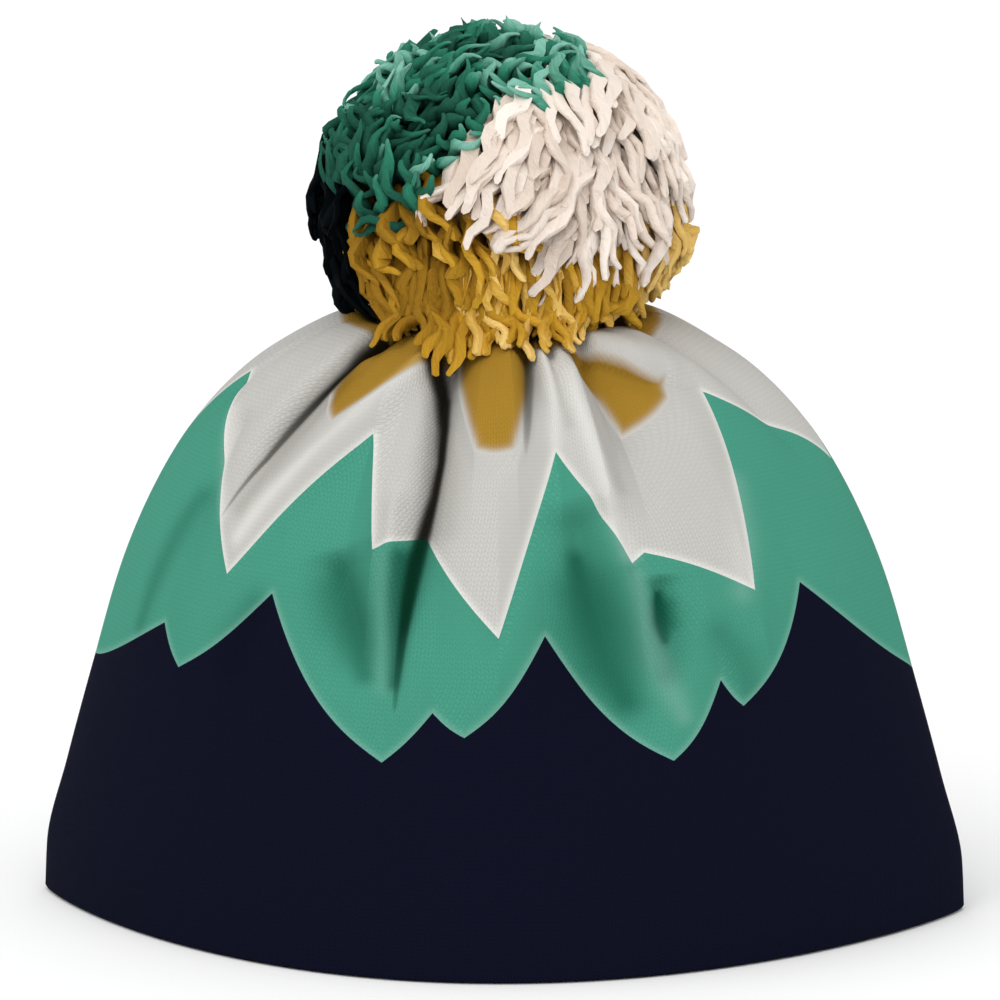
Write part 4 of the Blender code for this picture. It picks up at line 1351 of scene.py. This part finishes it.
def build_core(crown, colour):
    """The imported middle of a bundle: a ball cut along the planes between the colours."""
    sizes = crown.sizes
    middle = Vector(crown.pompom_middle)
    radius = sizes.pompom_radius * CORE_REACH
    deselect_all()
    bpy.ops.mesh.primitive_ico_sphere_add(subdivisions=4, radius=radius, location=middle)
    made = bpy.context.object
    bpy.ops.object.transform_apply(location=True, rotation=True, scale=True)
    cap = NAVY_CAP_SHARE * sizes.head_radius
    if colour == "navy":
        planes = [(-NAVY_FACES, -cap)]
    else:
        first, last = SECTORS[colour]
        planes = [
            (NAVY_FACES, cap),
            (sector_direction(last + QUARTER_TURN), 0.0),
            (sector_direction(first - QUARTER_TURN), 0.0),
        ]
    bpy.ops.object.mode_set(mode="EDIT")
    for normal, distance in planes:
        bpy.ops.mesh.select_all(action="SELECT")
        bpy.ops.mesh.bisect(
            plane_co=middle + normal * distance,
            plane_no=normal,
            use_fill=True,
            clear_outer=True,
        )
    bpy.ops.object.mode_set(mode="OBJECT")
    made.data.uv_layers[0].name = TEXTURE
    # The core shows only deep in the gaps, so it is painted in their shade all over
    put_yarn(made.data, 0.0, 0.35, 1.0)
    return made


def texture_corners(data, texture):
    """Texture places at the corners of the faces, which run past 1 across the seam."""
    places = texture[corner_vertices(data)]
    per_face = np.zeros(len(data.polygons), dtype=np.int32)
    data.polygons.foreach_get("loop_total", per_face)
    face = np.repeat(np.arange(len(per_face)), per_face)
    widest = np.zeros(len(per_face))
    np.maximum.at(widest, face, places[:, 0])
    places[:, 0] += (widest[face] - places[:, 0] > 0.5) * (per_face[face] == 4)
    return places


def build_bundle(crown, colour):
    """One colour of the pompom: its packed middle and every strand of its yarn."""
    sizes = crown.sizes
    random = np.random.default_rng(sizes.seed + len(colour) * SEED_STEP)
    shaken = np.random.default_rng(sizes.seed)
    middles = spread_directions(sizes.strand_count, shaken)
    middles = middles[yarn_colours(middles) == colour]
    middles = middles[middles[:, 2] > LOWEST_STRAND]
    middles = middles[random.random(len(middles)) < YARN_LAID[colour]]
    parts = [bend_ends(crown, random, colour, middles)]
    if colour == "mustard":
        parts.append(hang_ends(crown, random, 0.0))
    if colour == "navy":
        parts.append(hang_ends(crown, random, HALF_TURN))
    if colour == "green":
        parts.append(spike_ends(crown, random))
    paths, radii, tips = (np.concatenate(rows) for rows in zip(*parts))
    ends = unit(paths[:, -1] - crown.pompom_middle)
    tints = random.beta(*TINT_SPREAD, len(paths))
    tints += TINT_WAVES[colour] * waves_over(ends, random, TINT_PITCH)
    # Painted light: strands towards the right and the top are lighter
    painted_right_light, painted_top_light, middle_tint = TINT_BIAS[colour]
    tints += middle_tint + painted_right_light * ends[:, 0] + painted_top_light * ends[:, 2]
    tints = np.clip(tints, 0.0, 1.0)
    points, faces, tip, tint, texture = sweep_strands(paths, radii, tips, tints)
    out = points - crown.pompom_middle
    reach = np.linalg.norm(out, axis=-1)
    # Painted shade: the yarn darkens deeper below the ball's skin, less so on the right
    skin = sizes.pompom_radius * flatness(out[:, 2] / np.maximum(reach, 1e-9))
    right = smooth_step((out[:, 0] / sizes.pompom_radius - CALM_FROM) / CALM_OVER)
    calm = 1.0 - RIGHT_CALM[colour] * right
    gap = smooth_step((skin - reach - GAP_FROM) / GAP_OVER) * calm
    data = bpy.data.meshes.new("yarn_" + colour)
    data.from_pydata(points.tolist(), [], faces)
    made = bpy.data.objects.new("yarn_" + colour, data)
    bpy.context.scene.collection.objects.link(made)
    data.uv_layers.new(name=TEXTURE)
    put_texture(data, texture_corners(data, texture))
    put_yarn(data, tip, tint, gap)
    join_into(made, [build_core(crown, colour)])
    bpy.ops.object.shade_smooth()
    return made


def length_property(name, description, default, least):
    return bpy.props.FloatProperty(
        name=name, description=description, default=default, min=least, unit="LENGTH"
    )


def count_property(name, description, default, least):
    return bpy.props.IntProperty(name=name, description=description, default=default, min=least)


def angle_property(name, description, degrees):
    return bpy.props.FloatProperty(
        name=name, description=description, default=math.radians(degrees), subtype="ANGLE"
    )


def strength_property(name, description, default, least=0.0, subtype="NONE"):
    return bpy.props.FloatProperty(
        name=name, description=description, default=default, min=least, subtype=subtype
    )


def colour_property(name, description, default):
    return bpy.props.FloatVectorProperty(
        name=name,
        description=description,
        default=default,
        size=3,
        min=0.0,
        max=1.0,
        subtype="COLOR",
    )


class HatSizes(bpy.types.PropertyGroup):
    """Sizes of the hat and its knitting."""

    hem_width: length_property(
        "Hem width", "Width of the hat across its hem", HEM_HIGH.x - HEM_LOW.x, 0.1
    )
    hem_depth: length_property(
        "Hem depth", "Depth of the hat from front to back at its hem", HEM_HIGH.y - HEM_LOW.y, 0.1
    )
    crown_height: length_property(
        "Crown height", "Height of the crown, from the hem to the crest round the pompom", 0.132, 0.05
    )
    head_radius: length_property(
        "Pompom core radius", "Radius of the ball that the crown's dish is shaped to", 0.038, 0.01
    )
    knit_thickness: length_property(
        "Knit thickness", "Thickness of the knitted wall", 0.0025, 0.0005
    )
    fold_depth: length_property("Fold depth", "Depth of the deepest folds of the top", 0.006, 0.0)
    fold_width: length_property("Fold width", "Half-width of a usual fold", 0.006, 0.001)
    wale_count: count_property("Wales", "Columns of stitches round the hat", 368, 40)
    course_height: length_property("Course height", "Height of one row of stitches", 0.00112, 0.0004)
    pompom_radius: length_property(
        "Pompom radius", "Radius of the pompom over the ends of its yarn", 0.0425, 0.01
    )
    yarn_width: length_property("Yarn width", "Width of one strand of the yarn", 0.0034, 0.0005)
    crimp_length: length_property("Crimp length", "Length of one wave of the yarn", 0.0140, 0.002)
    crimp_depth: length_property(
        "Crimp depth", "How far a wave of the yarn swings to either side", 0.0013, 0.0
    )
    strand_count: count_property("Strands", "Strands of yarn spread over the whole pompom", 1350, 50)
    seed: count_property("Seed", "Number that the yarn's random lie starts from", 11, 0)


class HatColours(bpy.types.PropertyGroup):
    """Colours of the knitting and of the yarn."""

    navy: colour_property("Navy knit", "Colour of the band at the hem", (0.0045, 0.0053, 0.0155))
    green: colour_property("Green knit", "Colour of the lower petals", (0.053, 0.290, 0.200))
    cream: colour_property("Cream knit", "Colour of the upper petals", (0.520, 0.508, 0.480))
    mustard: colour_property("Mustard knit", "Colour of the top", (0.350, 0.195, 0.021))
    navy_yarn: colour_property("Navy yarn", "Colour of the pompom's back", (0.0022, 0.0036, 0.0048))
    green_yarn: colour_property("Green yarn", "Colour of the pompom's top", (0.015, 0.185, 0.108))
    cream_yarn: colour_property("Cream yarn", "Colour of the pompom's right", (0.80, 0.700, 0.615))
    mustard_yarn: colour_property(
        "Mustard yarn", "Colour of the pompom's lower part", (0.54, 0.29, 0.016)
    )


class StageSettings(bpy.types.PropertyGroup):
    """The camera's place and the strength of the studio's lights."""

    azimuth: angle_property("Camera azimuth", "How far the camera stands round to the right", 6.0)
    elevation: angle_property("Camera elevation", "How far the camera looks down", 10.0)
    distance: length_property("Camera distance", "Distance to the middle of the hat", 1.6, 0.3)
    lens: strength_property("Lens", "Focal length in millimetres", 260.76, 10.0)
    key_power: strength_property(
        "Key light", "Power of the large light at the front left", 12.5, subtype="POWER"
    )
    top_strength: strength_property(
        "Top light", "Strength of the soft light from above, which also whitens the floor", 1.35
    )
    fill_power: strength_property(
        "Fill light", "Power of the light at the front right", 11.5, subtype="POWER"
    )
    surround: strength_property(
        "Surround", "Strength of the even white light from all round", 0.68
    )


class HAT_OT_knit_crown(bpy.types.Operator):
    """Knit the crown in its four colours"""

    bl_idname = "hat.knit_crown"
    bl_label = "Knit Crown"

    def execute(self, context):
        colours = context.scene.hat_colours
        crown = Crown(context.scene.hat_sizes)
        for colour, low_edge, high_edge, outside, inside in BANDS:
            made = build_band(crown, colour, low_edge, high_edge, outside, inside)
            cover = colours.cream if colour == "mustard" else None
            made.data.materials.append(knit_material(colour, getattr(colours, colour), cover))
            place_piece(made, ["crown_" + colour])
        return {"FINISHED"}


class HAT_OT_wind_pompom(bpy.types.Operator):
    """Wind the pompom's four bundles of yarn"""

    bl_idname = "hat.wind_pompom"
    bl_label = "Wind Pompom"

    def execute(self, context):
        colours = context.scene.hat_colours
        crown = Crown(context.scene.hat_sizes)
        for colour in YARN_LIES:
            made = build_bundle(crown, colour)
            finish = yarn_material(colour, getattr(colours, colour + "_yarn"))
            made.data.materials.append(finish)
            place_piece(made, ["pompom_" + colour])
        return {"FINISHED"}


class HAT_OT_tie_pompom(bpy.types.Operator):
    """Tie the pompom on: a stem of yarn through the gather, knotted inside"""

    bl_idname = "hat.tie_pompom"
    bl_label = "Tie Pompom"

    def execute(self, context):
        low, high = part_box("pompom_tie")
        parts = []
        for drop, reach, tilt_x, tilt_y in KNOT_LOOPS:
            deselect_all()
            bpy.ops.mesh.primitive_torus_add(
                location=(0.0, 0.0, low.z + KNOT_HEIGHT * (1.0 - drop)),
                rotation=(tilt_x, tilt_y, drop * 5.0),
                major_radius=(high.x - low.x) / 2 * reach,
                minor_radius=TIE_YARN_RADIUS,
                major_segments=32,
                minor_segments=10,
            )
            parts.append(context.object)
        foot = low.z + KNOT_HEIGHT * 0.3
        apart = TIE_YARN_RADIUS * 1.1
        for number in range(STEM_STRANDS):
            turn = number * math.tau / STEM_STRANDS
            deselect_all()
            bpy.ops.mesh.primitive_cylinder_add(
                vertices=10,
                radius=TIE_YARN_RADIUS,
                depth=high.z - foot,
                location=(apart * math.cos(turn), apart * math.sin(turn), (high.z + foot) / 2),
            )
            parts.append(context.object)
            bpy.ops.object.mode_set(mode="EDIT")
            bpy.ops.mesh.select_all(action="SELECT")
            bpy.ops.mesh.subdivide(number_cuts=3)
            bpy.ops.object.mode_set(mode="OBJECT")
        made = parts[0]
        join_into(made, parts[1:])
        made.name = "tie_knot"
        bpy.ops.object.transform_apply(location=True, rotation=True, scale=True)
        bpy.ops.object.shade_smooth_by_angle(angle=math.radians(50.0))
        made.data.uv_layers[0].name = TEXTURE
        put_yarn(made.data, 1.0, 0.5, 0.0)
        made.data.materials.append(yarn_material("tie", TIE_COLOUR))
        place_piece(made, ["pompom_tie"])
        return {"FINISHED"}


class HAT_OT_light_stage(bpy.types.Operator):
    """Lay the floor, hang the lights and set up the camera"""

    bl_idname = "hat.light_stage"
    bl_label = "Light Stage"

    def execute(self, context):
        settings = context.scene.hat_stage
        deselect_all()
        bpy.ops.mesh.primitive_plane_add(size=FLOOR_SIZE, location=(0.0, 0.0, -FLOOR_DROP))
        floor = context.object
        floor.name = "floor"
        bpy.ops.object.transform_apply(location=True, rotation=True, scale=True)
        looks = {"Base Color": solid(FLOOR_COLOUR), "Roughness": 0.9, "Specular IOR Level": 0.1}
        floor.data.materials.append(Graph("pale_floor").finish(looks, {}))
        for name, place, size in LIGHTS:
            turn = (LIGHT_AIM - Vector(place)).to_track_quat("-Z", "Y").to_euler()
            bpy.ops.object.light_add(type="AREA", location=place, rotation=turn)
            light = context.object
            light.name = "light_" + name
            light.data.size = size
            light.data.energy = getattr(settings, name + "_power")
        turn = SUN_AIM.to_track_quat("-Z", "Y").to_euler()
        bpy.ops.object.light_add(type="SUN", location=SUN_PLACE, rotation=turn)
        sun = context.object
        sun.name = "light_top"
        sun.data.energy = settings.top_strength
        sun.data.angle = math.radians(SUN_SPREAD)
        world = bpy.data.worlds.new("studio")
        world.use_nodes = True
        surround = world.node_tree.nodes["Background"]
        surround.inputs["Color"].default_value = (1.0, 1.0, 1.0, 1.0)
        surround.inputs["Strength"].default_value = settings.surround
        context.scene.world = world
        flat, tilt = settings.azimuth, settings.elevation
        level = math.cos(tilt)
        back = Vector((math.sin(flat) * level, -math.cos(flat) * level, math.sin(tilt)))
        bpy.ops.object.camera_add(
            location=CAMERA_TARGET + back * settings.distance,
            rotation=(-back).to_track_quat("-Z", "Y").to_euler(),
        )
        camera = context.object
        camera.name = "camera"
        camera.data.lens = settings.lens
        camera.data.sensor_width = SENSOR_WIDTH
        camera.data.clip_start, camera.data.clip_end = CAMERA_NEAR, CAMERA_FAR
        context.scene.camera = camera
        context.scene.view_settings.view_transform = "Standard"
        return {"FINISHED"}


class HAT_PT_panel(bpy.types.Panel):
    """Sizes, colours and steps of the knitted hat"""

    bl_idname = "HAT_PT_panel"
    bl_label = "Knitted Hat"
    bl_space_type = "VIEW_3D"
    bl_region_type = "UI"
    bl_category = "Hat"

    def draw(self, context):
        layout = self.layout
        for title, group in (
            ("Sizes", context.scene.hat_sizes),
            ("Colours", context.scene.hat_colours),
            ("Stage", context.scene.hat_stage),
        ):
            box = layout.box()
            box.label(text=title)
            for name in group.bl_rna.properties.keys():
                if name not in ("rna_type", "name"):
                    box.prop(group, name)
        for operator in OPERATORS:
            layout.operator(operator.bl_idname)


GROUPS = (HatSizes, HatColours, StageSettings)
OPERATORS = (HAT_OT_knit_crown, HAT_OT_wind_pompom, HAT_OT_tie_pompom, HAT_OT_light_stage)
CLASSES = (*GROUPS, *OPERATORS, HAT_PT_panel)


def register():
    for each in CLASSES:
        bpy.utils.register_class(each)
    bpy.types.Scene.hat_sizes = bpy.props.PointerProperty(type=HatSizes)
    bpy.types.Scene.hat_colours = bpy.props.PointerProperty(type=HatColours)
    bpy.types.Scene.hat_stage = bpy.props.PointerProperty(type=StageSettings)


def unregister():
    del bpy.types.Scene.hat_stage
    del bpy.types.Scene.hat_colours
    del bpy.types.Scene.hat_sizes
    for each in reversed(CLASSES):
        bpy.utils.unregister_class(each)


def main():
    register()
    bpy.ops.hat.knit_crown()
    bpy.ops.hat.wind_pompom()
    bpy.ops.hat.tie_pompom()
    bpy.ops.hat.light_stage()


if __name__ == "__main__":
    main()
